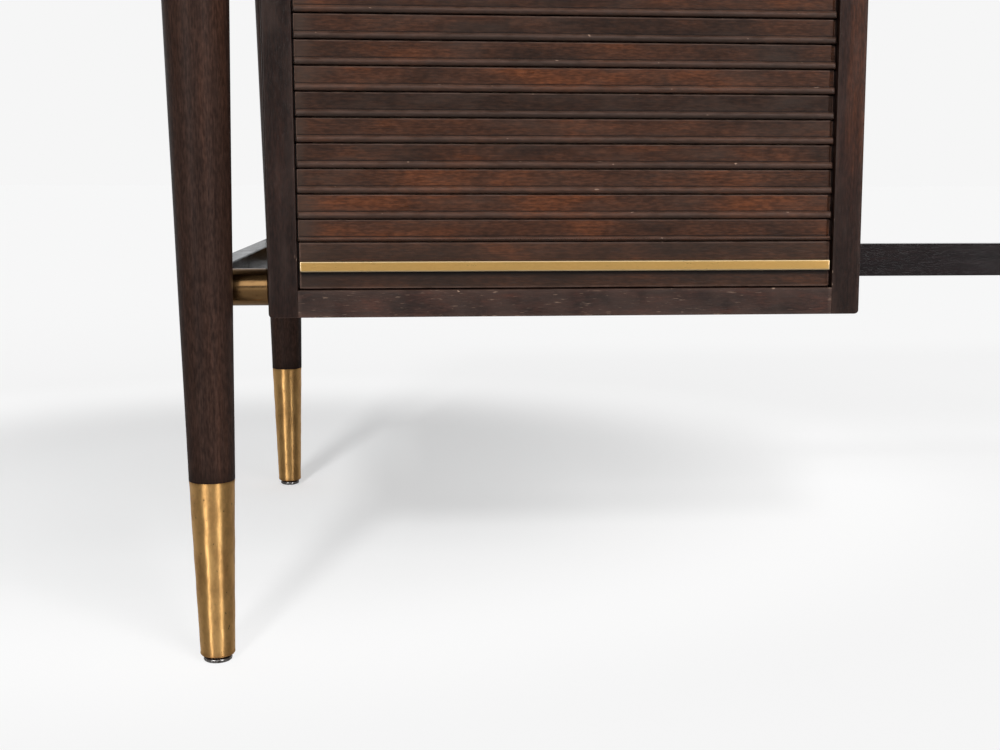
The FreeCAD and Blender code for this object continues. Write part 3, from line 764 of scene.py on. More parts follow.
def eased(corners: Sequence[Corner], margin: float, segments: int = 3) -> list[Spot]:
    """Rounds the corners of a section and marks where its wear fades out.

    Args:
        corners: the section's corners, in order.
        margin: width of flat beside an arris over which the wear fades.
        segments: faces in each rounding.

    Returns:
        The points of the section.
    """
    spots = []
    for index, corner in enumerate(corners):
        here = Vector((corner.u, corner.v))
        others = (corners[index - 1], corners[(index + 1) % len(corners)])
        back, ahead = (Vector((other.u, other.v)) - here for other in others)
        room_back, room_ahead = back.length / 2, ahead.length / 2
        back.normalize()
        ahead.normalize()
        if corner.radius + margin < room_back:
            fade = here + back * (corner.radius + margin)
            spots.append(Spot(fade.x, fade.y, 0.0, corner.soot))
        centre = here + (back + ahead) * corner.radius
        for step in range(segments + 1 if corner.radius else 1):
            turn = QUARTER * step / segments
            point = centre - (ahead * math.cos(turn) + back * math.sin(turn)) * corner.radius
            share = 1.0 if 0 < step < segments else 0.7
            spots.append(Spot(point.x, point.y, corner.wear * share, corner.soot))
        if corner.radius + margin < room_ahead:
            fade = here + ahead * (corner.radius + margin)
            spots.append(Spot(fade.x, fade.y, 0.0, corner.soot))
    return spots


def inward(spots: Sequence[Spot]) -> list[Vector]:
    """Direction into the section at each of its points, as long as a mitre needs.

    Args:
        spots: the section.

    Returns:
        One direction for each point.
    """
    places = [Vector((spot.u, spot.v)) for spot in spots]
    area = sum(a.x * b.y - b.x * a.y for a, b in zip(places, places[1:] + places[:1]))
    turn = 1.0 if area > 0 else -1.0
    directions = []
    for index, place in enumerate(places):
        before = (place - places[index - 1]).normalized()
        after = (places[(index + 1) % len(places)] - place).normalized()
        normal = Vector((-(before.y + after.y), before.x + after.x)) * turn
        normal.normalize()
        lean = max(0.5, abs(normal.x * -before.y * turn + normal.y * before.x * turn))
        directions.append(normal / lean)
    return directions


def cuts(
    start: float, stop: float, ease: float, margin: float, step: float, extra: Sequence[float] = ()
) -> list[Cut]:
    """Cuts along a moulding: eased ends, then a cut every step.

    Args:
        start: one end.
        stop: the other end.
        ease: radius of the arris round each end.
        margin: width over which the wear of an end fades.
        step: distance between cuts.
        extra: more places that need a cut.

    Returns:
        The cuts in order, with a fading ring on each end's face.
    """
    length = stop - start
    first = [Cut(0.0, ease + margin)]
    first += [Cut(ease * (1 - math.cos(t)), ease * (1 - math.sin(t)), 1.0) for t in (0, QUARTER / 2, QUARTER)]
    first.append(Cut(ease + margin))
    count = max(1, round((length - 2 * (ease + margin)) / step))
    middle = [ease + margin + (length - 2 * (ease + margin)) * i / count for i in range(1, count)]
    middle += [place - start for place in extra]
    last = [Cut(length - cut.along, cut.inset, cut.wear) for cut in reversed(first)]
    every = first + [Cut(place) for place in sorted(middle)] + last
    return [Cut(start + cut.along, cut.inset, cut.wear) for cut in every]


def put(name: str, data: bpy.types.ID) -> bpy.types.Object:
    """Adds an object to the scene.

    Args:
        name: what it is called.
        data: its mesh, light or camera.

    Returns:
        The object.
    """
    thing = bpy.data.objects.new(name, data)
    bpy.context.scene.collection.objects.link(thing)
    return thing


Shape = Callable[[float, Spot, float, float], tuple[float, float]]
Ripple = Callable[[float, float, float], float]


class Workpiece:
    """Mesh in the making, with the marks that its finish reads."""

    def __init__(self, name: str) -> None:
        """Starts an empty mesh.

        Args:
            name: the piece's name, which also settles where its figure is cut from.
        """
        self.name = name
        self.bm = bmesh.new()
        layers = self.bm.verts.layers
        self.grain = layers.float_vector.new("grain")
        self.marks = {mark: layers.float.new(mark) for mark in ("wear", "soot", "tone", "haze")}
        random = Random(name)
        self.shift = Vector([random.uniform(-4, 4) for _ in range(3)])

    def vertex(self, place: Vector, grain: Sequence[float], wear: float, soot: float) -> bmesh.types.BMVert:
        """Adds a vertex with its marks.

        Args:
            place: where it is.
            grain: its place in the figure, along the grain first.
            wear: how worn it is, and how strong a painted highlight it takes, from 0 to 1.
            soot: how dark it is with dirt and painted shade, from 0 to 1.

        Returns:
            The vertex.
        """
        vertex = self.bm.verts.new(place)
        vertex[self.grain] = Vector(grain) + self.shift
        vertex[self.marks["wear"]] = wear
        vertex[self.marks["soot"]] = soot
        return vertex

    def skin(self, rings: Sequence[Sequence[bmesh.types.BMVert]], closed: bool = False) -> None:
        """Joins rings of vertices with faces; a ring of one vertex is a pole.

        Args:
            rings: the rings in order.
            closed: whether the last ring joins the first.
        """
        pairs = list(zip(rings, rings[1:]))
        if closed:
            pairs.append((rings[-1], rings[0]))
        for one, two in pairs:
            count = max(len(one), len(two))
            for i in range(count):
                j = (i + 1) % count
                corners = [one[i % len(one)], one[j % len(one)], two[j % len(two)], two[i % len(two)]]
                self.bm.faces.new(list(dict.fromkeys(corners)))

    def moulding(
        self, spots: Sequence[Spot], axis: Axis, places: Sequence[Cut], shape: Shape | None = None
    ) -> None:
        """Adds a closed bar of one section.

        Args:
            spots: the section.
            axis: direction of the bar.
            places: where along it the section is set.
            shape: moves a point of the section: takes the place along, the spot, and its u and v.
        """
        ways = inward(spots)
        rings = []
        for cut in places:
            ring = []
            for spot, way in zip(spots, ways):
                u, v = spot.u + way.x * cut.inset, spot.v + way.y * cut.inset
                if shape:
                    u, v = shape(cut.along, spot, u, v)
                wear = max(spot.wear if cut.inset == 0 else 0.0, cut.wear * 0.8)
                ring.append(self.vertex(axis.place(cut.along, u, v), (cut.along, u, v), wear, spot.soot))
            rings.append(ring)
        self.skin(rings)
        self.bm.faces.new(rings[0])
        self.bm.faces.new(rings[-1])

    def board(self, node: str, axis: Axis, ease: float, wear: float, step: float) -> None:
        """Adds a plain board that fills a node's box.

        Args:
            node: CAD node.
            axis: direction of its grain.
            ease: radius of its arrises.
            wear: how worn they are.
            step: distance between cuts.
        """
        low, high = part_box(node)
        start, *least = axis.split(low)
        stop, *most = axis.split(high)
        margin = min(3 * MM, 0.25 * min(most[0] - least[0], most[1] - least[1]))
        spots = eased(oblong(least, most, radius=ease, wear=wear), margin)
        self.moulding(spots, axis, cuts(start, stop, ease, margin, step))

    def turning(
        self,
        rings: Sequence[Ring],
        axis: Axis,
        centre: Vector,
        sides: int = 48,
        closed: bool = False,
        ripple: Ripple | None = None,
    ) -> None:
        """Adds a turned body.

        Args:
            rings: its profile.
            axis: direction of its axis.
            centre: a point on the axis; rings give their own place along it.
            sides: faces round it.
            closed: whether the profile closes on itself, as a cup's does.
            ripple: moves a radius: takes the angle, the place along and the radius.
        """
        _, u, v = axis.split(centre)
        made = []
        for ring in rings:
            loop = []
            for side in range(sides if ring.radius else 1):
                angle = math.tau * side / sides
                radius = ring.radius
                if ripple and radius:
                    radius = ripple(angle, ring.along, radius)
                across = (radius * math.cos(angle), radius * math.sin(angle))
                place = axis.place(ring.along, u + across[0], v + across[1])
                loop.append(self.vertex(place, (ring.along, *across), ring.wear, ring.soot))
            made.append(loop)
        self.skin(made, closed)

    def screw(
        self, seat: Vector, axis: Axis, inwards: int, head: tuple[float, float], shank: tuple[float, float]
    ) -> None:
        """Adds a slotted screw.

        Args:
            seat: where the underside of its head sits, on its axis.
            axis: direction of the screw.
            inwards: sign of the direction that the shank goes.
            head: radius and height of the head.
            shank: radius and length of the shank.
        """
        radius, height = head
        thin, length = shank
        along, u, v = axis.split(seat)
        slot_depth, slot_half = height * 0.45, radius * 0.13
        floor = height - slot_depth
        disc = [Ring(0, 0), Ring(radius * 0.96, 0), Ring(radius, floor * 0.3)]
        disc += [Ring(radius, floor), Ring(0, floor)]
        self.turning([Ring(r.radius, along - inwards * r.along) for r in disc], axis, seat, sides=28)
        pin = [Ring(0, 0), Ring(thin, 0), Ring(thin, length - thin * 1.4)]
        pin += [Ring(thin * 0.25, length), Ring(0, length)]
        self.turning([Ring(r.radius, along + inwards * r.along) for r in pin], axis, seat, sides=16)
        reach = math.acos(slot_half / radius)
        for side in (1, -1):
            arc = [-reach + 2 * reach * i / 10 for i in range(11)]
            land = [Spot(u + side * radius * math.cos(a), v + radius * math.sin(a), 0.5, 0.0) for a in arc]
            top = [(floor, 0.0), (height - 0.15 * MM, 0.0), (height, 0.15 * MM)]
            self.moulding(land, axis, [Cut(along - inwards * z, inset) for z, inset in top])

    def mark(self, name: str, value: Callable[[Vector], float]) -> None:
        """Sets a mark on every vertex.

        Args:
            name: the mark.
            value: gives it, from the vertex's place.
        """
        layer = self.marks[name]
        for vertex in self.bm.verts:
            vertex[layer] = value(vertex.co)

    def finished(self, body: str, slot: Slot, material: bpy.types.Material, *nodes: str) -> bpy.types.Object:
        """Turns the mesh into a piece of the desk.

        Args:
            body: CAD body that it rides on.
            slot: material slot of the record; not used.
            material: its finish.
            nodes: CAD nodes that it stands for.

        Returns:
            The piece.
        """
        bmesh.ops.recalc_face_normals(self.bm, faces=self.bm.faces)
        mesh = bpy.data.meshes.new(self.name)
        self.bm.to_mesh(mesh)
        self.bm.free()
        mesh.shade_smooth()
        mesh.materials.append(material)
        piece = put(self.name, mesh)
        flats = piece.modifiers.new("true_flats", "WEIGHTED_NORMAL")
        flats.weight = 100
        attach(piece, body)
        if nodes:
            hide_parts(*nodes)
        log.info("%s rides on %s, with %d faces", self.name, body, len(mesh.polygons))
        return piece


def dress(node: str, material: bpy.types.Material) -> None:
    """Gives a carried-over solid its finish.

    Args:
        node: CAD node whose shape is right as it is.
        material: its finish.
    """
    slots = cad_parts[node].material_slots
    for slot in slots:
        slot.material = material
    if not slots:
        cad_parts[node].data.materials.append(material)
    log.info("%s keeps its own shape", node)


def wander(place: Vector, size: float, height: float) -> float:
    """Smooth deviation of a hand-made surface, up to about a height, over about a size."""
    return noise.noise(place / size) * height


# ------------------------------------------------------------------ pieces of more than one sub-assembly
@dataclass(frozen=True)
class Board:
    """Plain board that fills the box of its node.

    Attributes:
        node: CAD node that it stands for.
        body: CAD body that it rides on.
        slot: material slot of the record.
        finish: its wood.
        axis: direction of its grain.
        ease: radius of its arrises.
        wear: how worn they are, from 0 to 1.
        step: distance between the cuts along it.
        tone: how warm its stain is, from -1 to 1.
        haze: bloom at a place on it, from 0 to 1, or None for none.
    """

    node: str
    body: str
    slot: Slot
    finish: WoodFinish
    axis: Axis
    ease: float
    wear: float
    step: float = 0.06
    tone: float = 0.0
    haze: Callable[[Vector], float] | None = None

    def build(self) -> None:
        """Shapes and dresses it."""
        work = Workpiece(f"{self.node}_shaped")
        work.board(self.node, self.axis, self.ease, self.wear, self.step)
        work.mark("tone", lambda place: self.tone)
        if self.haze:
            work.mark("haze", self.haze)
        work.finished(self.body, self.slot, self.finish.material(), self.node)


@dataclass(frozen=True)
class BarPull:
    """Square brass bar, bevelled all round its front, and the screws that hold it from behind.

    Attributes:
        body: CAD body that both ride on, which their nodes are named after.
        bevel: width of the bevel.
        screw_head: radius and height of a screw's head.
        screw_radius: of its shank.
        screw_count: screws along the bar.
    """

    body: str
    bevel: float = 0.7 * MM
    screw_head: tuple[float, float] = (3.0 * MM, 2.0 * MM)
    screw_radius: float = 1.5 * MM
    screw_count: int = 4

    def build(self) -> None:
        """Builds and dresses the bar and its screws."""
        self.bar()
        self.screws()

    def bar(self) -> None:
        """Shapes the bar, with small dings along its front arrises."""
        node = f"{self.body}_bar"
        low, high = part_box(node)
        behind = 0.15 * MM
        # Both bevelled front arrises take the full wear mark: rubbed brass and a painted reflection along the
        # bevels.
        corners = [
            Corner(low.y, low.z, self.bevel, 1),
            Corner(high.y, low.z, behind, 0),
            Corner(high.y, high.z, behind, 0),
            Corner(low.y, high.z, self.bevel, 1),
        ]
        ding_length, dings_a_metre, ding_depth, sound = 0.03, 900, 0.35 * MM, 0.12 * MM

        def dings(along: float, spot: Spot, u: float, v: float) -> tuple[float, float]:
            """Knocks the worn arrises in.

            Args:
                along: place along the bar.
                spot: point of its section.
                u: the point's depth.
                v: the point's height.

            Returns:
                The depth and height with the dings.
            """
            if spot.wear <= 0:
                return u, v
            place = Vector((along / ding_length, spot.v * dings_a_metre, 3))
            return u + max(0.0, wander(place, 1.0, ding_depth) - sound), v

        work = Workpiece(f"{node}_shaped")
        places = cuts(low.x, high.x, ease=self.bevel, margin=0.5 * MM, step=4 * MM)
        work.moulding(eased(corners, margin=0.6 * MM, segments=2), Axis.X, places, dings)
        work.finished(self.body, Slot.BAR, BAR_BRASS.material(), node)

    def screws(self) -> None:
        """Adds the row of slotted screws behind the bar."""
        node = f"{self.body}_bar_screws"
        low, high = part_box(node)
        radius, height = self.screw_head
        first, last = low.x + radius, high.x - radius
        work = Workpiece(f"{node}_shaped")
        for index in range(self.screw_count):
            x = first + (last - first) * index / (self.screw_count - 1)
            seat = Vector((x, high.y - height, (low.z + high.z) / 2))
            work.screw(seat, Axis.Y, -1, self.screw_head, (self.screw_radius, seat.y - low.y))
        work.finished(self.body, Slot.SCREW, STEEL.material(), node)


# ------------------------------------------------------------------ studio
@dataclass(frozen=True)
class Lamp:
    """Soft light far away that throws the desk's shadows.

    Attributes:
        name: what it is called.
        heading: degrees to the right of the desk's front that it stands.
        height: degrees above the horizon.
        light: how much light falls on a face turned to it.
        softness: how wide it looks, in degrees.
    """

    name: str
    heading: float
    height: float
    light: float
    softness: float


@dataclass(frozen=True)
class Strip:
    """Tall narrow light that stands on the floor, and that only polished pieces mirror.

    Attributes:
        name: what it is called.
        place: where it stands.
        width: of the strip.
        height: of the strip.
        power: in watts.
    """

    name: str
    place: tuple[float, float]
    width: float
    height: float
    power: float


@dataclass(frozen=True)
class SoftBox:
    """Bright panel far away that polished pieces mirror.

    Attributes:
        heading: degrees to the right of the desk's front of its two edges.
        height: degrees above the horizon of its lower and upper edge.
        glow: its brightness.
        fade: degrees over which its edges fade.
    """

    heading: tuple[float, float]
    height: tuple[float, float]
    glow: float
    fade: float = 4.0


@dataclass
class Studio:
    """Pale sweep, soft lamps and the camera.

    Attributes:
        eye: place of the camera.
        heading: degrees that it looks to the right of the desk's depth.
        dip: degrees that it looks down.
        lean: degrees that it leans.
        lens: focal length in millimetres.
        rise: shift of the view, sideways and up, as shares of the frame's width.
        paper: brightness of the lit sweep.
        paper_glow: share of it that no shadow takes away, near the desk and far from it.
        paper_seen: brightness of the floor's paper to the camera, near the desk and far from it.
        paper_mirrored: brightness of the floor's paper in a mirror image, near the desk and far from it.
        paper_bounce: brightness of it where it lights the desk from below.
        paper_middle: where the floor counts as nearest, under the back of the pedestal.
        paper_reach: distances from there between which near turns into far.
        mirror_reach: the same in a mirror image.
        floor_radius: how far the floor reaches.
        room: brightness of the dark end of the room.
        room_color: colour of the room's light.
        backdrop: how much brighter the sweep behind the desk is.
        lamps: the lamps.
        strips: the strips.
        strip_aim: what they are turned to.
        boxes: the soft boxes.
    """

    eye: tuple[float, float, float] = (-0.4941, -1.4179, 0.3678)
    heading: float = 5.59
    dip: float = 8.637
    lean: float = -0.095
    lens: float = 52.22
    rise: tuple[float, float] = (-0.05848, 0.02194)
    paper: float = 0.9216
    paper_glow: tuple[float, float] = (0.43, 0.83)
    paper_seen: tuple[float, float] = (0.64, 0.125)
    paper_mirrored: tuple[float, float] = (0.40, 0.76)
    paper_bounce: float = 0.76
    paper_middle: tuple[float, float, float] = (-0.69, 0.42, 0.0)
    paper_reach: tuple[float, float] = (0.21, 0.95)
    mirror_reach: tuple[float, float] = (1.2, 3.0)
    floor_radius: float = 60.0
    room: float = 0.16
    room_color: Color = (0.97, 0.985, 1.0)
    backdrop: float = 0.55
    lamps: tuple[Lamp, ...] = (
        Lamp("left_lamp", -11, 30, 1.5, 7),
        Lamp("right_lamp", 31, 25, 2.1, 26),
    )
    strips: tuple[Strip, ...] = (
        Strip("left_strip", (-5.22, -8.07), 1.4, 6.0, 330.0),
        Strip("right_strip", (4.83, -7.46), 1.4, 6.0, 290.0),
    )
    strip_aim: tuple[float, float] = (-0.65, -0.32)
    boxes: tuple[SoftBox, ...] = (SoftBox((-20, 28), (12, 40), 1.3),)

    def build(self) -> None:
        """Sets up the floor, the light and the camera."""
        self.floor()
        self.surround()
        for lamp in self.lamps:
            self.hang(lamp)
        for strip in self.strips:
            self.stand(strip)
        self.camera()
        view = bpy.context.scene.view_settings
        view.view_transform = "Standard"
        view.look = "None"

    def floor(self) -> None:
        """Adds the plain floor: matt paper that is overexposed where the camera sees it."""
        bm = bmesh.new()
        bmesh.ops.create_circle(bm, cap_ends=True, radius=self.floor_radius, segments=128)
        mesh = bpy.data.meshes.new("floor")
        bm.to_mesh(mesh)
        bm.free()
        shader = Shader("white_floor")
        path = shader.new("LightPath")
        seen, mirrored = path.outputs["Is Camera Ray"], path.outputs["Is Glossy Ray"]
        distance = shader.new("VectorMath")
        distance.operation = "DISTANCE"
        shader.feed(distance.inputs[0], shader.new("TexCoord").outputs["Object"])
        shader.feed(distance.inputs[1], self.paper_middle)
        reaches = (self.paper_reach, self.mirror_reach)
        far, mirror_far = (shader.steps(distance.outputs["Value"], *reach) for reach in reaches)
        seen_color = shader.mix(far, *((value,) * 3 for value in self.paper_seen))
        mirrored_color = shader.mix(mirror_far, *((value,) * 3 for value in self.paper_mirrored))
        color = shader.mix(mirrored, (self.paper_bounce,) * 3, mirrored_color)
        color = shader.mix(seen, color, seen_color)
        glow = shader.math("MULTIPLY", seen, shader.steps(far, 0.0, 1.0, self.paper_glow))
        shader.set(base_color=color, roughness=1.0, specular_ior_level=0.0)
        shader.set(emission_color=(1.0, 1.0, 1.0), emission_strength=glow)
        mesh.materials.append(shader.material)
        put("floor", mesh)

    def surround(self) -> None:
        """Sets the room: a pale sweep behind the desk, a dim end in front and the soft boxes."""
        world = bpy.data.worlds.new("surround")
        bpy.context.scene.world = world
        world.use_nodes = True
        shader = Nodes(world.node_tree)
        parts = shader.new("SeparateXYZ")
        shader.feed(parts.inputs[0], shader.new("TexCoord").outputs["Generated"])
        right, behind, above = parts.outputs
        glow = shader.steps(behind, -0.2, 0.8, (self.room, self.room + self.backdrop))
        glow = shader.math("MULTIPLY", glow, shader.steps(above, 0.95, 0.25, (0.45, 1.0)))
        heading = shader.math("ARCTAN2", right, shader.math("MULTIPLY", behind, -1.0))
        height = shader.math("ARCSINE", above)
        for box in self.boxes:
            fade = math.radians(box.fade)
            share = 1.0
            for value, edges in ((heading, box.heading), (height, box.height)):
                low, high = (math.radians(edge) for edge in edges)
                share = shader.math("MULTIPLY", share, shader.steps(value, low - fade, low + fade))
                share = shader.math("MULTIPLY", share, shader.steps(value, high + fade, high - fade))
            glow = shader.math("MULTIPLY_ADD", share, box.glow, glow)
        seen, room, mixed = shader.new("Background"), shader.new("Background"), shader.new("MixShader")
        seen.inputs[0].default_value = (self.paper, self.paper, self.paper, 1)
        room.inputs[0].default_value = (*self.room_color, 1)
        shader.feed(room.inputs["Strength"], glow)
        shader.feed(mixed.inputs[0], shader.new("LightPath").outputs["Is Camera Ray"])
        shader.feed(mixed.inputs[1], room.outputs[0])
        shader.feed(mixed.inputs[2], seen.outputs[0])
        shader.feed(shader.new("OutputWorld").inputs["Surface"], mixed.outputs[0])

    def hang(self, lamp: Lamp) -> None:
        """Adds one lamp, which polished pieces don't mirror.

        Args:
            lamp: the lamp.
        """
        light = bpy.data.lights.new(lamp.name, "SUN")
        light.energy = lamp.light
        light.angle = math.radians(lamp.softness)
        heading, height = math.radians(lamp.heading), math.radians(lamp.height)
        level = math.cos(height)
        towards = Vector((math.sin(heading) * level, -math.cos(heading) * level, math.sin(height)))
        holder = put(lamp.name, light)
        holder.visible_glossy = False
        holder.location = towards * 3
        holder.rotation_mode = "QUATERNION"
        holder.rotation_quaternion = towards.to_track_quat("Z", "Y")

    def stand(self, strip: Strip) -> None:
        """Adds one strip, turned to the legs that mirror it.

        Args:
            strip: the strip.
        """
        light = bpy.data.lights.new(strip.name, "AREA")
        light.shape = "RECTANGLE"
        light.size, light.size_y = strip.width, strip.height
        light.energy = strip.power
        towards = Vector((*strip.place, 0.0)) - Vector((*self.strip_aim, 0.0))
        holder = put(strip.name, light)
        holder.visible_camera = False
        holder.visible_diffuse = False
        holder.location = (*strip.place, strip.height / 2)
        holder.rotation_mode = "QUATERNION"
        holder.rotation_quaternion = towards.to_track_quat("Z", "Y")

    def camera(self) -> None:
        """Adds the camera."""
        data = bpy.data.cameras.new("camera")
        data.lens = self.lens
        data.shift_x, data.shift_y = self.rise
        heading, dip, lean = (math.radians(turn) for turn in (self.heading, self.dip, self.lean))
        ahead = Vector((math.sin(heading) * math.cos(dip), math.cos(heading) * math.cos(dip), -math.sin(dip)))
        right = Vector((math.cos(heading), -math.sin(heading), 0))
        up = right.cross(ahead)
        leaning_right = right * math.cos(lean) - up * math.sin(lean)
        leaning_up = up * math.cos(lean) + right * math.sin(lean)
        turn = Matrix((leaning_right, leaning_up, -ahead)).transposed().to_4x4()
        holder = put("camera", data)
        holder.matrix_world = Matrix.Translation(self.eye) @ turn
        bpy.context.scene.camera = holder


# ------------------------------------------------------------------ legs
@dataclass
class LegFrames:
    """Legs with their sabots and glides, the rails that join them, and the spacers to the case.

    Attributes:
        foot_radius: of a sabot at its foot.
        wall: of a sabot.
        stem_radius: of a glide.
        glide_height: of a glide's disc.
        glide_flat: radius of its flat underside.
        bolt_head: radius and height of a bolt's head.
        bolt_recess: how deep the head's seat lies in its rail.
        bolt_bite: how far the bolt goes into a panel.
        bolt_radius: of its shank.
        top_screw_head: radius and height of the head of a screw under the top.
        top_screw_radius: of its shank.
        pits: angle in degrees, height above the foot and radius of the dents in a sabot.
        spacers: the rails that spacers tie to the case or to the frieze, each at both of its ends.
    """

    foot_radius: float = 13.1 * MM
    wall: float = 1.2 * MM
    stem_radius: float = 3.0 * MM
    glide_height: float = 4.0 * MM
    glide_flat: float = 6.5 * MM
    bolt_head: tuple[float, float] = (5.0 * MM, 3.5 * MM)
    bolt_recess: float = 4.5 * MM
    bolt_bite: float = 12.0 * MM
    bolt_radius: float = 2.5 * MM
    top_screw_head: tuple[float, float] = (4.5 * MM, 3.0 * MM)
    top_screw_radius: float = 2.5 * MM
    pits: tuple[tuple[float, float, float], ...] = ((-92, 42 * MM, 0.9 * MM), (-84, 25 * MM, 1.1 * MM))
    spacers: tuple[tuple[Level, Side], ...] = (
        (Level.LOWER, Side.LEFT),
        (Level.UPPER, Side.LEFT),
        (Level.UPPER, Side.RIGHT),
    )

    def build(self) -> None:
        """Builds and dresses every piece."""
        glides, washers = Workpiece("glides_shaped"), Workpiece("glide_washers_shaped")
        for side in Side:
            for end in End:
                corner = f"{end.value}_{side.value}"
                self.leg(corner)
                self.sabot(corner)
                self.foot(corner, glides, washers)
            for level in Level:
                dress(f"side_rail_{level.value}_{side.value}", RAIL_WOOD.material(Axis.Y))
        glides.finished("desk", Slot.GLIDE, GLIDE_STEEL.material(), "glides")
        washers.finished("desk", Slot.FIBRE, DARK_FIBRE.material(), "glide_washers")
        dress("stretcher", RAIL_WOOD.material(Axis.X))
        self.spacers_and_bolts()
        self.top_screws()

    @staticmethod
    def centre(node: str) -> Vector:
        """Middle of a node's box."""
        low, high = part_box(node)
        return (low + high) / 2

    def leg(self, corner: str) -> None:
        """Turns one leg: a long taper with a faint hand-turned ripple.

        Args:
            corner: which leg, such as front_left.
        """
        node = f"leg_{corner}"
        low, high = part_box(node)
        sabot_low, sabot_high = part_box(f"sabot_{corner}")
        neck, shoulder = (sabot_high.x - sabot_low.x) / 2, sabot_high.z
        top = (high.x - low.x) / 2
        inner_foot, inner_neck = self.foot_radius - self.wall, neck - self.wall
        rings = [Ring(0, low.z), Ring(inner_foot, low.z), Ring(inner_neck, shoulder)]
        rings += [Ring(neck - 0.4 * MM, shoulder), Ring(neck, shoulder + 0.5 * MM, soot=0.5)]
        count = 48
        for index in range(1, count + 1):
            share = index / count
            rings.append(Ring(neck + (top - neck) * share, shoulder + (high.z - shoulder) * share))
        rings.append(Ring(0, high.z))
        wave, sink, waves_a_metre = 0.14 * MM, 0.07 * MM, 9

        def ripple(angle: float, along: float, radius: float) -> float:
            """Ripples the wood between the sabot and the top.

            Args:
                angle: round the leg.
                along: height.
                radius: of the plain taper there.

            Returns:
                The rippled radius.
            """
            if along <= shoulder + MM or along >= high.z - MM:
                return radius
            spot = Vector((math.cos(angle), math.sin(angle), along * waves_a_metre))
            return radius + wander(spot, 1.0, wave) - sink

        work = Workpiece(f"{node}_shaped")
        work.turning(rings, Axis.Z, self.centre(node), sides=56, ripple=ripple)
        work.mark("tone", lambda place: 0.15)
        work.finished("desk", Slot.LEG, LEG_WOOD.material(), node)

    def sabot(self, corner: str) -> None:
        """Spins one brass cup, with the soft dents of use.

        Args:
            corner: which leg it is on, such as front_left.
        """
        node = f"sabot_{corner}"
        low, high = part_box(node)
        neck = (high.x - low.x) / 2
        height = high.z - low.z
        rim, lip = 1.9 * MM, 0.45 * MM
        count = 84
        rings = [Ring(self.stem_radius, low.z, soot=1), Ring(self.foot_radius - rim, low.z, soot=1)]
        for turn in (0.4, 0.8):
            across, up = bend(turn)
            rings.append(Ring(self.foot_radius - rim * (1 - across), low.z + rim * up, soot=0.9 - 0.4 * turn))
        for index in range(count + 1):
            share = index / count
            along = low.z + rim + (height - rim - lip) * share
            radius = self.foot_radius + (neck - self.foot_radius) * (along - low.z) / height
            grime = 0.45 * smoothstep(1 - index / 3) + 0.35 * smoothstep(1 - (count - index) / 2)
            rings.append(Ring(radius, along, soot=grime))
        rings.append(Ring(neck - lip * 0.4, high.z - lip * 0.1, soot=0.5))
        rings.append(Ring(neck - lip, high.z, soot=0.8))
        rings.append(Ring(neck - self.wall, high.z, soot=1))
        rings.append(Ring(self.foot_radius - self.wall, low.z + self.wall, soot=1))
        rings.append(Ring(self.stem_radius, low.z + self.wall, soot=1))
        seed = Random(node).uniform(0, 9)
        dent, dent_sink, dent_length, dents_round = 0.24 * MM, 0.17 * MM, 13 * MM, 1.9
        hammer, hammer_sink, finer = 0.05 * MM, 0.04 * MM, 2.3
        pit_depth = 0.5 * MM

        def ripple(angle: float, along: float, radius: float) -> float:
            """Dents the cup's outside.

            Args:
                angle: round the leg.
                along: height.
                radius: of the plain cup there.

            Returns:
                The dented radius.
            """
            if radius < self.foot_radius - rim or not low.z + 2 * MM < along < high.z - MM:
                return radius
            across = (math.cos(angle) * dents_round, math.sin(angle) * dents_round)
            spot = Vector((*across, along / dent_length + seed))
            moved = radius - dent_sink + wander(spot, 1.0, dent)
            moved += wander(spot * finer, 1.0, hammer) - hammer_sink
            for pit_angle, pit_height, pit_radius in self.pits:
                aside = (angle - math.radians(pit_angle) + math.pi) % math.tau - math.pi
                away = math.hypot(aside * radius, along - low.z - pit_height) / pit_radius
                moved -= pit_depth * smoothstep(1 - away)
            return moved

        work = Workpiece(f"{node}_shaped")
        work.turning(rings, Axis.Z, self.centre(node), sides=112, closed=True, ripple=ripple)
        work.finished("desk", Slot.SABOT, SABOT_BRASS.material(), node)

    def foot(self, corner: str, glides: Workpiece, washers: Workpiece) -> None:
        """Adds the domed glide and the washer under one sabot.

        Args:
            corner: which leg, such as front_left.
            glides: where the glide is added.
            washers: where the washer is added.
        """
        centre = self.centre(f"sabot_{corner}")
        _, glide_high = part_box("glides")
        washer_low, washer_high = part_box("glide_washers")
        leg_right = sum(end.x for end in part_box("sabot_front_right")) / 2
        radius, washer_radius = glide_high.x - leg_right, washer_high.x - leg_right
        height = self.glide_height
        rings = [Ring(0, 0), Ring(self.glide_flat, 0)]
        for turn in (0.25, 0.5, 0.75, 1.0):
            across, up = bend(turn)
            rings.append(Ring(self.glide_flat + (radius - self.glide_flat) * across, height * 0.55 * up))
        rings += [Ring(radius, height * 0.8), Ring(radius - 0.5 * MM, height), Ring(self.stem_radius, height)]
        rings += [Ring(self.stem_radius, glide_high.z), Ring(0, glide_high.z)]
        glides.turning(rings, Axis.Z, centre)
        low, high = washer_low.z, washer_high.z
        disc = [Ring(self.stem_radius, low), Ring(washer_radius, low)]
        disc += [Ring(washer_radius, high), Ring(self.stem_radius, high)]
        washers.turning(disc, Axis.Z, centre, sides=40, closed=True)

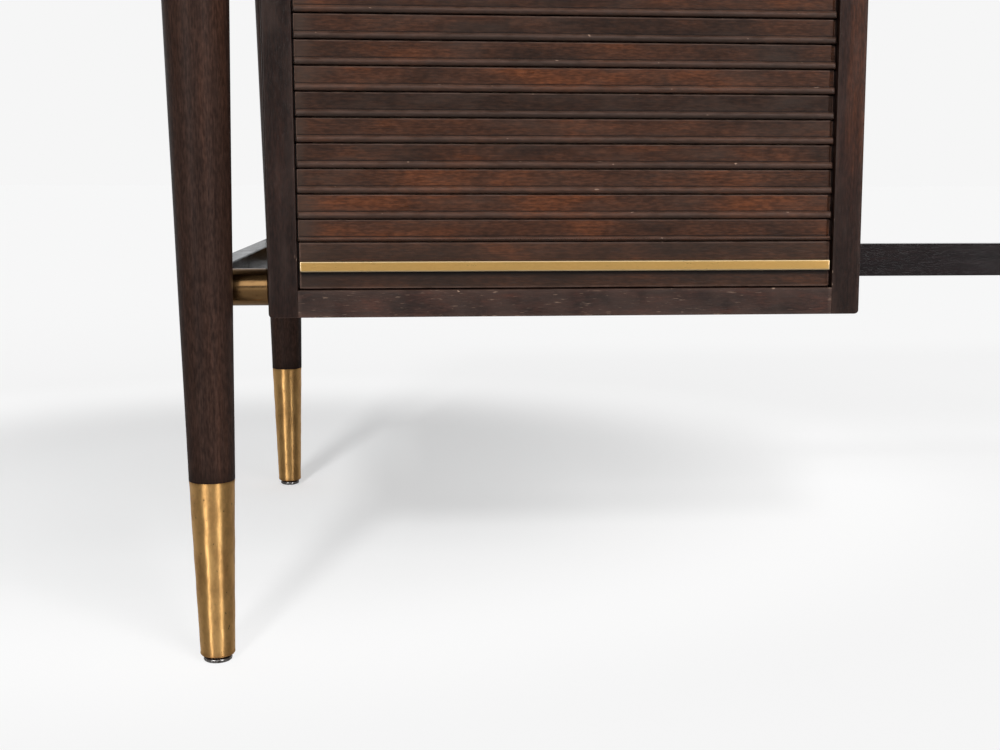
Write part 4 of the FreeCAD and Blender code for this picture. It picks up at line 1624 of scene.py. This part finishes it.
    def spacers_and_bolts(self) -> None:
        """Turns the brass spacers and the slotted bolts that run through them."""
        bolts = Workpiece("spacer_bolts_shaped")
        for level, side in self.spacers:
            rail_low, rail_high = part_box(f"side_rail_{level.value}_{side.value}")
            outer = rail_low.x if side is Side.LEFT else rail_high.x
            for end in End:
                node = f"spacer_{level.value}_{end.value}_{side.value}"
                low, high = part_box(node)
                radius, ease = (high.z - low.z) / 2, 0.8 * MM
                rings = [Ring(0, low.x), Ring(radius - ease, low.x, soot=0.8)]
                for turn in (0.33, 0.67, 1.0):
                    across, along = bend(turn)
                    rings.append(Ring(radius - ease * (1 - across), low.x + ease * along, soot=0.5))
                rings.append(Ring(radius, low.x + 3 * MM))
                middle = (low.x + high.x) / 2
                rings += [Ring(r.radius, 2 * middle - r.along, soot=r.soot) for r in reversed(rings)]
                work = Workpiece(f"{node}_shaped")
                seat = self.centre(node)
                work.turning(rings, Axis.X, seat, sides=64)
                work.finished("desk", Slot.HARDWARE, SMALL_BRASS.material(), node)
                seat.x = outer + side.inward * self.bolt_recess
                inner = high.x if side is Side.LEFT else low.x
                shank = (self.bolt_radius, abs(inner - seat.x) + self.bolt_bite)
                bolts.screw(seat, Axis.X, side.inward, self.bolt_head, shank)
        bolts.finished("desk", Slot.HARDWARE, SMALL_BRASS.material(), "spacer_bolts")

    def top_screws(self) -> None:
        """Adds the screws that hold the top down, seen from below."""
        low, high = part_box("top_screws")
        radius, height = self.top_screw_head
        seat_z = low.z + height
        shank = (self.top_screw_radius, high.z - seat_z)
        work = Workpiece("top_screws_shaped")
        for x in (low.x + radius, high.x - radius):
            for y in (low.y + radius, high.y - radius):
                work.screw(Vector((x, y, seat_z)), Axis.Z, 1, self.top_screw_head, shank)
        work.finished("desk", Slot.SCREW, STEEL.material(), "top_screws")


# ------------------------------------------------------------------ pedestal
@dataclass
class Pedestal:
    """The case that the tambour closes, with its shelf.

    Attributes:
        edge: radius of the case's outer arrises.
        foot_edge: radius of the arris under each side panel.
        groove_depth: of the tambour's groove.
        groove: from the groove's front edge to the case's front, and the groove's width.
        rebate: depth and thickness of the back panel's rebate.
        ease: radius of the inner arrises.
        fascia_edge: radius of the fascia's front arrises.
        shelf_edge: radius of the shelf's arrises.
        foot_tones: how warm the left and the right panel's stain is at the foot, from -1 to 1.
        high_tones: the same, above the foot.
        foot_height: how far up the foot's tone reaches.
        pin_ease: of a shelf pin's ends.
    """

    edge: float = 1.5 * MM
    foot_edge: float = 3.0 * MM
    groove_depth: float = 6.0 * MM
    groove: tuple[float, float] = (8.1 * MM, 4.8 * MM)
    rebate: tuple[float, float] = (10.0 * MM, 8.0 * MM)
    ease: float = 0.6 * MM
    fascia_edge: float = 2.0 * MM
    shelf_edge: float = 1.0 * MM
    foot_tones: tuple[float, float] = (-0.2, -0.7)
    high_tones: tuple[float, float] = (-0.2, 0.1)
    foot_height: float = 0.16
    pin_ease: float = 0.4 * MM

    def build(self) -> None:
        """Builds and dresses every piece."""
        for side in Side:
            self.side_panel(side)
        for board in self.boards():
            board.build()
        self.pins()
        dress("case_top", PANEL_WOOD.material(Axis.X))
        dress("pocket_panel", PANEL_WOOD.material(Axis.X))

    def boards(self) -> list[Board]:
        """Lists its plain boards, of which the bottom's front edge is the most knocked.

        Returns:
            The bottom board, the fascia above the opening, the back panel and the loose shelf.
        """

        def blotches(place: Vector) -> float:
            """Bloom in blotches, at a place on the bottom board."""
            return 0.1 + 0.5 * smoothstep(0.5 + wander(place, 0.02, 1.6))

        ease, desk, case = 0.4 * MM, "desk", Slot.CASE
        return [
            Board("case_bottom", desk, case, BOARD_WOOD, Axis.X, ease, wear=0.7, step=0.01, haze=blotches),
            Board("fascia", desk, case, PANEL_WOOD, Axis.X, self.fascia_edge, wear=0.35, step=0.03, tone=0.3),
            Board("case_back", desk, case, PANEL_WOOD, Axis.Z, ease, wear=0.3),
            Board("shelf", desk, case, PANEL_WOOD, Axis.X, self.shelf_edge, wear=0.5),
        ]

    def side_panel(self, side: Side) -> None:
        """Shapes a side panel: rounded outside, grooved for the tambour, rebated for the back.

        Args:
            side: which panel.
        """
        node = f"case_side_{side.value}"
        low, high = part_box(node)
        outer, inner = (low.x, high.x) if side is Side.LEFT else (high.x, low.x)
        out = -side.inward
        front, back = low.y, high.y
        groove_front = front + self.groove[0]
        groove_back = groove_front + self.groove[1]
        groove_floor = inner + out * self.groove_depth
        step = back - self.rebate[1]
        tight = 0.25 * MM
        corners = [
            Corner(outer, front, self.edge, 0.1),
            Corner(inner, front, self.ease, 0.3),
            Corner(inner, groove_front, tight, 0.3),
            Corner(groove_floor, groove_front, 0, 0, 1),
            Corner(groove_floor, groove_back, 0, 0, 1),
            Corner(inner, groove_back, tight, 0.3),
            Corner(inner, step, tight, 0),
            Corner(inner + out * self.rebate[0], step, 0, 0),
            Corner(inner + out * self.rebate[0], back, tight, 0.3),
            Corner(outer, back, self.edge, 0.4),
        ]

        def round_foot(along: float, spot: Spot, u: float, v: float) -> tuple[float, float]:
            """Rounds the arris under the panel's outer face.

            Args:
                along: height.
                spot: point of the section.
                u: the point's place across the panel.
                v: the point's depth.

            Returns:
                The place and depth with the rounding.
            """
            outside = abs(u - outer) < abs(u - inner) / 3
            drawn_in = tuck(self.foot_edge, min(self.foot_edge, along - low.z)) if outside else 0.0
            return u - out * drawn_in, v

        which = list(Side).index(side)
        foot_tone, high_tone = self.foot_tones[which], self.high_tones[which]

        def stained(place: Vector) -> float:
            """Warmth of the stain, which is darker at the foot."""
            return foot_tone + (high_tone - foot_tone) * smoothstep((place.z - low.z) / self.foot_height)

        foot = [low.z + self.foot_edge * share for share in (0.25, 0.4, 0.6, 0.8, 1.0)]
        places = cuts(low.z, high.z, ease=0.15 * MM, margin=0.3 * MM, step=0.02, extra=foot)
        work = Workpiece(f"{node}_shaped")
        work.moulding(eased(corners, margin=2.5 * MM), Axis.Z, places, round_foot)
        work.mark("tone", stained)
        work.finished("desk", Slot.CASE, CASE_WOOD.material(), node)

    def pins(self) -> None:
        """Turns the four shelf pins."""
        low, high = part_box("shelf_pins")
        radius, ease = (high.z - low.z) / 2, self.pin_ease
        inner_left, inner_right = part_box("case_side_left")[1].x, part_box("case_side_right")[0].x
        work = Workpiece("shelf_pins_shaped")
        for start, stop in ((low.x, 2 * inner_left - low.x), (2 * inner_right - high.x, high.x)):
            rings = [Ring(0, start), Ring(radius - ease, start), Ring(radius, start + ease)]
            rings += [Ring(radius, stop - ease), Ring(radius - ease, stop), Ring(0, stop)]
            for y in (low.y + radius, high.y - radius):
                work.turning(rings, Axis.X, Vector((0, y, low.z + radius)), sides=24)
        work.finished("desk", Slot.HARDWARE, SMALL_BRASS.material(), "shelf_pins")


# ------------------------------------------------------------------ tambour
@dataclass
class Tambour:
    """The roll-up front: lipped slats on canvas, a bottom rail and its brass bar.

    Attributes:
        count: number of slats.
        face_height: of a slat's flat face, above its lip.
        lip_projection: how far the lip stands out.
        lip_radii: of its lower and its upper rounding.
        side_gap: between a slat's face and the case.
        tongue_setback: from the face to the tongue.
        tongue_thickness: of the tongue.
        tongue_relief: how much lower than the slat it is, above and below.
        shoulder: how deep the right-hand shoulder is cut.
        shoulder_length: shortest and longest shoulder.
        stagger: how unevenly the slats end.
        worn_end: how far the lip's wear reaches in from each end.
        tones: warmth of each slat, from the lowest.
        bar_shade: how far the painted shadow under the bar reaches down.
        bar: the brass bar and its screws.
        faces: where the slats' faces start and end, between the side panels.
    """

    count: int = 11
    face_height: float = 12.85 * MM
    lip_projection: float = 3.0 * MM
    lip_radii: tuple[float, float] = (1.1 * MM, 2.5 * MM)
    side_gap: float = 0.9 * MM
    tongue_setback: float = 2.5 * MM
    tongue_thickness: float = 4.0 * MM
    tongue_relief: float = 0.5 * MM
    shoulder: float = 1.7 * MM
    shoulder_length: tuple[float, float] = (1.2 * MM, 4.2 * MM)
    stagger: float = 0.4 * MM
    worn_end: float = 1.4 * MM
    tones: tuple[float, ...] = (0.3, 0.3, 0.35, 0.05, 0.15, -0.7, 0.35, -0.1, -0.2, 0.0, 0.1)
    bar_shade: float = 6.0 * MM
    bar: BarPull = BarPull("tambour")
    faces: tuple[float, float] = field(init=False)

    def __post_init__(self) -> None:
        """Finds where the slats' faces start and end between the side panels."""
        inner_left, inner_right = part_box("case_side_left")[1].x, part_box("case_side_right")[0].x
        self.faces = (inner_left + self.side_gap, inner_right - self.side_gap)

    def build(self) -> None:
        """Builds and dresses every piece."""
        for number in range(1, self.count + 1):
            self.slat(number)
        self.bottom_rail()
        self.canvas()
        self.bar.build()

    def tongues(self, work: Workpiece, low: Vector, high: Vector, face: float) -> None:
        """Adds the two ends of a slat's tongue, which run in the grooves.

        Args:
            work: the slat.
            low: least corner of its node's box.
            high: greatest corner of it.
            face: depth of its face.
        """
        front = face + self.tongue_setback
        least = (front, low.z + self.tongue_relief)
        most = (front + self.tongue_thickness, high.z - self.tongue_relief)
        ease, bury = 0.3 * MM, 3 * MM
        spots = eased(oblong(least, most, radius=ease, wear=0.0, soot=0.9), margin=0.5 * MM, segments=2)
        for start, stop in ((low.x, self.faces[0] + bury), (self.faces[1] - bury, high.x)):
            work.moulding(spots, Axis.X, cuts(start, stop, ease, margin=0.5 * MM, step=0.01))

    def slat(self, number: int) -> None:
        """Shapes one slat: a flat face over a rounded lip, with knocked ends.

        Args:
            number: of the slat, 1 for the lowest.
        """
        node = f"slat_{number:02d}"
        random = Random(node)
        low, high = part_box(node)
        lip_front, back = low.y, high.y
        face = lip_front + self.lip_projection
        lip_top = high.z - self.face_height
        under, over = self.lip_radii
        over = min(over, lip_top - low.z - under - 0.3 * MM)
        # Painted shade from the soot mark in the crease over the lip and on the lip's lower rounding; painted
        # highlight from the wear mark on the lip's upper rounding and the face's top arris.
        corners = [
            Corner(lip_front, low.z, under, 0.0, 0.45),
            Corner(lip_front, lip_top, over, 0.35, 0.0),
            Corner(face, lip_top, 0.3 * MM, 0, 1.0),
            Corner(face, lip_top + 1.3 * MM, 0, 0, 0.0),
            Corner(face, high.z, 0.7 * MM, 1.0),
            Corner(back, high.z, 0.3 * MM, 0),
            Corner(back, low.z, 0.3 * MM, 0, 0.5),
        ]
        corners = [corners[0], *reversed(corners[1:])]
        spots = eased(corners, margin=0.5 * MM, segments=4)
        start = self.faces[0] + random.uniform(0, self.stagger)
        stop = self.faces[1] - random.uniform(0, self.stagger)
        shoulder = stop - random.uniform(*self.shoulder_length)
        seed = random.uniform(0, 50)
        wave_length, hair = 0.055, 0.2 * MM

        def carve(along: float, spot: Spot, u: float, v: float) -> tuple[float, float]:
            """Wears the lip's ends, waves it a little and cuts the shoulder at the right.

            Args:
                along: place along the slat.
                spot: point of its section.
                u: the point's depth.
                v: the point's height.

            Returns:
                The carved depth and height.
            """
            wave = Vector((along / wave_length, seed, 0))
            if spot.u < face - hair and spot.v < lip_top + hair:
                end = max(0.0, 1 - (along - start) / self.worn_end, 1 - (stop - along) / self.worn_end)
                u += end**2 * MM + wander(wave, 1.0, 0.22 * MM) + 0.12 * MM
                v += wander(wave * 1.7, 1.0, 0.16 * MM) * (spot.v - low.z) / (lip_top - low.z)
            elif spot.u < face + 1.5 * MM and spot.v > lip_top - hair:
                u += self.shoulder * smoothstep((along - shoulder) / (0.7 * MM) + 0.5)
                u += max(0.0, wander(wave * 2.3, 1.0, 0.3 * MM)) if spot.v > high.z - 1.2 * MM else 0.0
            return u, v

        extra = [shoulder + offset * MM for offset in (-0.6, -0.3, 0.0, 0.3, 0.6)]
        extra += [start + 1.1 * MM, start + 1.9 * MM, stop - 1.1 * MM]
        places = cuts(start, stop, ease=0.35 * MM, margin=0.4 * MM, step=5 * MM, extra=sorted(extra))
        places = sorted(places[1:-1], key=lambda cut: cut.along)
        end_inset = 0.75 * MM
        work = Workpiece(f"{node}_shaped")
        work.moulding(spots, Axis.X, [Cut(start, end_inset), *places, Cut(stop, end_inset)], carve)
        tone = self.tones[number - 1]
        work.mark("tone", lambda place: tone)
        lip_bloom, end_bloom, bloom_reach = 0.3, 0.75, 0.02 + 0.012 * math.sin(seed)

        def bloomed(place: Vector) -> float:
            """Bloom along the lip and over the slat's left end."""
            lip = lip_bloom if place.y < face - 0.5 * MM else 0.0
            return max(lip, end_bloom * smoothstep(1 - (place.x - start) / bloom_reach))

        work.mark("haze", bloomed)
        self.tongues(work, low, high, face)
        work.finished("tambour", Slot.TAMBOUR, TAMBOUR_WOOD.material(), node)

    def bottom_rail(self) -> None:
        """Shapes the wide rail under the slats, with the same tongues."""
        node = "tambour_bottom_rail"
        low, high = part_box(node)
        face, back = low.y, high.y
        bar_low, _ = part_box("tambour_bar")
        corners = [
            Corner(face, low.z, 0.7 * MM, 0.8),
            Corner(back, low.z, 0.7 * MM, 0.0),
            Corner(back, high.z, 0.7 * MM, 0.0),
            Corner(face, high.z, 0.7 * MM, 0.8),
            # Painted shadow under the brass bar: the soot mark is strongest at the bar's foot and fades out
            # over bar_shade.
            Corner(face, bar_low.z + 2 * MM, 0.0, 0.0, 0.0),
            Corner(face, bar_low.z, 0.0, 0.0, 0.95),
            Corner(face, bar_low.z - self.bar_shade, 0.0, 0.0, 0.3),
        ]
        spots = eased(corners, margin=1.0 * MM)
        start, stop = self.faces[0] + 0.4 * MM, self.faces[1] - 0.3 * MM
        bloom, bloom_reach, tone = 0.3, 0.03, -0.1
        work = Workpiece(f"{node}_shaped")
        work.moulding(spots, Axis.X, cuts(start, stop, ease=0.5 * MM, margin=1.2 * MM, step=8 * MM))
        work.mark("tone", lambda place: tone)
        work.mark("haze", lambda place: bloom + bloom * smoothstep(1 - (place.x - start) / bloom_reach))
        self.tongues(work, low, high, face)
        work.finished("tambour", Slot.TAMBOUR, TAMBOUR_WOOD.material(), node)

    def canvas(self) -> None:
        """Lays the canvas that the slats are glued to."""
        low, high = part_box("tambour_canvas")
        ease = 0.1 * MM
        spots = eased(oblong(low.yz, high.yz, radius=ease, wear=0), margin=0.2 * MM, segments=1)
        work = Workpiece("tambour_canvas_cloth")
        work.moulding(spots, Axis.X, cuts(low.x, high.x, ease, margin=ease, step=0.02))
        cloth = work.finished("tambour", Slot.CANVAS, CANVAS_CLOTH.material(), "tambour_canvas")


# ------------------------------------------------------------------ frieze and drawer
@dataclass
class Frieze:
    """What encloses the drawer over the kneehole.

    Attributes:
        end_edge: radius of the end panel's arrises.
        back_edge: radius of the back panel's arrises.
        runner_screw_head: radius and height of a screw's head.
        runner_screw_radius: of its shank.
        runner_screw_count: screws in each runner.
    """

    end_edge: float = 0.9 * MM
    back_edge: float = 0.8 * MM
    runner_screw_head: tuple[float, float] = (3.5 * MM, 2.0 * MM)
    runner_screw_radius: float = 2.0 * MM
    runner_screw_count: int = 3

    def build(self) -> None:
        """Builds and dresses every piece."""
        kind = ("desk", Slot.CASE, PANEL_WOOD)
        Board("frieze_end", *kind, Axis.Y, self.end_edge, wear=0.5, tone=0.25).build()
        Board("frieze_back", *kind, Axis.X, self.back_edge, wear=0.4).build()
        for side in Side:
            dress(f"runner_{side.value}", INNER_WOOD.material(Axis.Y))
        self.screws()

    def screws(self) -> None:
        """Adds the screws of both runners."""
        low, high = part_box("runner_screws")
        radius, height = self.runner_screw_head
        work = Workpiece("runner_screws_shaped")
        first, last = low.y + radius, high.y - radius
        for side in Side:
            runner_low, runner_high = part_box(f"runner_{side.value}")
            face = runner_high.x if side is Side.LEFT else runner_low.x
            tip = low.x if side is Side.LEFT else high.x
            for index in range(self.runner_screw_count):
                y = first + (last - first) * index / (self.runner_screw_count - 1)
                seat = Vector((face - side.inward * height, y, (low.z + high.z) / 2))
                shank = (self.runner_screw_radius, abs(tip - seat.x))
                work.screw(seat, Axis.X, -side.inward, self.runner_screw_head, shank)
        work.finished("desk", Slot.SCREW, STEEL.material(), "runner_screws")


@dataclass
class Drawer:
    """The drawer and its brass bar.

    Attributes:
        front_edge: radius of the front's arrises.
        side_ease: radius of the sides' and the back's arrises.
        bottom_ease: radius of the bottom's arrises.
        runner_groove_depth: of the groove for a runner.
        runner_room: how much wider than the runner that groove is, below it and above it.
        bottom_groove_depth: of the groove for the bottom.
        bar: the brass bar and its screws.
    """

    front_edge: float = 1.8 * MM
    side_ease: float = 1.0 * MM
    bottom_ease: float = 0.3 * MM
    runner_groove_depth: float = 8.0 * MM
    runner_room: tuple[float, float] = (0.8 * MM, 0.3 * MM)
    bottom_groove_depth: float = 5.0 * MM
    bar: BarPull = BarPull("drawer")

    def build(self) -> None:
        """Builds and dresses every piece."""
        seen = ("drawer", Slot.CASE, PANEL_WOOD)
        inside = ("drawer", Slot.DRAWER, INNER_WOOD)
        Board("drawer_front", *seen, Axis.X, self.front_edge, wear=0.4, step=0.03, tone=0.3).build()
        for side in Side:
            self.side(side)
        Board("drawer_back", *inside, Axis.X, self.side_ease, wear=0.4).build()
        Board("drawer_bottom", *inside, Axis.X, self.bottom_ease, wear=0.2).build()
        self.bar.build()

    def side(self, side: Side) -> None:
        """Shapes a drawer side, grooved for its runner and for the bottom.

        Args:
            side: which one.
        """
        node = f"drawer_side_{side.value}"
        low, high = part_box(node)
        runner_low, runner_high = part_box(f"runner_{side.value}")
        bottom_low, bottom_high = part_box("drawer_bottom")
        outer, inner = (low.x, high.x) if side is Side.LEFT else (high.x, low.x)
        into = side.inward
        groove_low, groove_high = runner_low.z - self.runner_room[0], runner_high.z + self.runner_room[1]
        deep = outer + into * self.runner_groove_depth
        shallow = inner - into * self.bottom_groove_depth
        tight = 0.3 * MM
        corners = [
            Corner(low.z, outer, self.side_ease),
            Corner(groove_low, outer, tight, 0),
            Corner(groove_low, deep, 0, 0, 0.4),
            Corner(groove_high, deep, 0, 0, 0.4),
            Corner(groove_high, outer, tight, 0),
            Corner(high.z, outer, self.side_ease),
            Corner(high.z, inner, self.side_ease),
            Corner(bottom_high.z, inner, tight, 0),
            Corner(bottom_high.z, shallow, 0, 0),
            Corner(bottom_low.z, shallow, 0, 0),
            Corner(bottom_low.z, inner, tight, 0),
            Corner(low.z, inner, self.side_ease),
        ]
        work = Workpiece(f"{node}_shaped")
        places = cuts(low.y, high.y, ease=tight, margin=tight, step=0.05)
        work.moulding(eased(corners, margin=0.8 * MM), Axis.Y, places)
        work.finished("drawer", Slot.DRAWER, INNER_WOOD.material(), node)


@dataclass
class DeskTop:
    """The top plate.

    Attributes:
        corner: radius of its corners, seen from above.
        edge: radius of its edges.
    """

    corner: float = 6.0 * MM
    edge: float = 2.5 * MM

    def build(self) -> None:
        """Shapes and dresses the top."""
        low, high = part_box("desk_top")
        middle = (low.y + high.y) / 2

        def round_corner(along: float, spot: Spot, u: float, v: float) -> tuple[float, float]:
            """Rounds the top's corners, seen from above.

            Args:
                along: place along the top.
                spot: point of its section.
                u: the point's depth.
                v: the point's height.

            Returns:
                The depth and height with the rounding.
            """
            drawn_in = tuck(self.corner, min(self.corner, along - low.x, high.x - along))
            return (u + drawn_in if spot.u < middle else u - drawn_in), v

        extra = []
        for share in (0.3, 0.55, 0.75, 0.9, 1.0):
            extra += [low.x + self.corner * share + self.edge, high.x - self.corner * share - self.edge]
        work = Workpiece("desk_top_shaped")
        spots = eased(oblong(low.yz, high.yz, radius=self.edge, wear=0.5), margin=4 * MM, segments=4)
        places = cuts(low.x, high.x, self.edge, margin=0.5 * MM, step=0.05, extra=extra)
        work.moulding(spots, Axis.X, sorted(places, key=lambda cut: (cut.along, -cut.inset)), round_corner)
        work.mark("tone", lambda place: 0.25)
        work.finished("desk", Slot.TOP, TOP_WOOD.material(), "desk_top")


def main() -> None:
    """Builds the studio and the desk."""
    logging.basicConfig(level=logging.INFO, format="%(message)s")
    for assembly in (Studio(), LegFrames(), Pedestal(), Tambour(), Frieze(), Drawer(), DeskTop()):
        log.info("building %s", type(assembly).__name__)
        assembly.build()


if __name__ == "__main__":
    main()
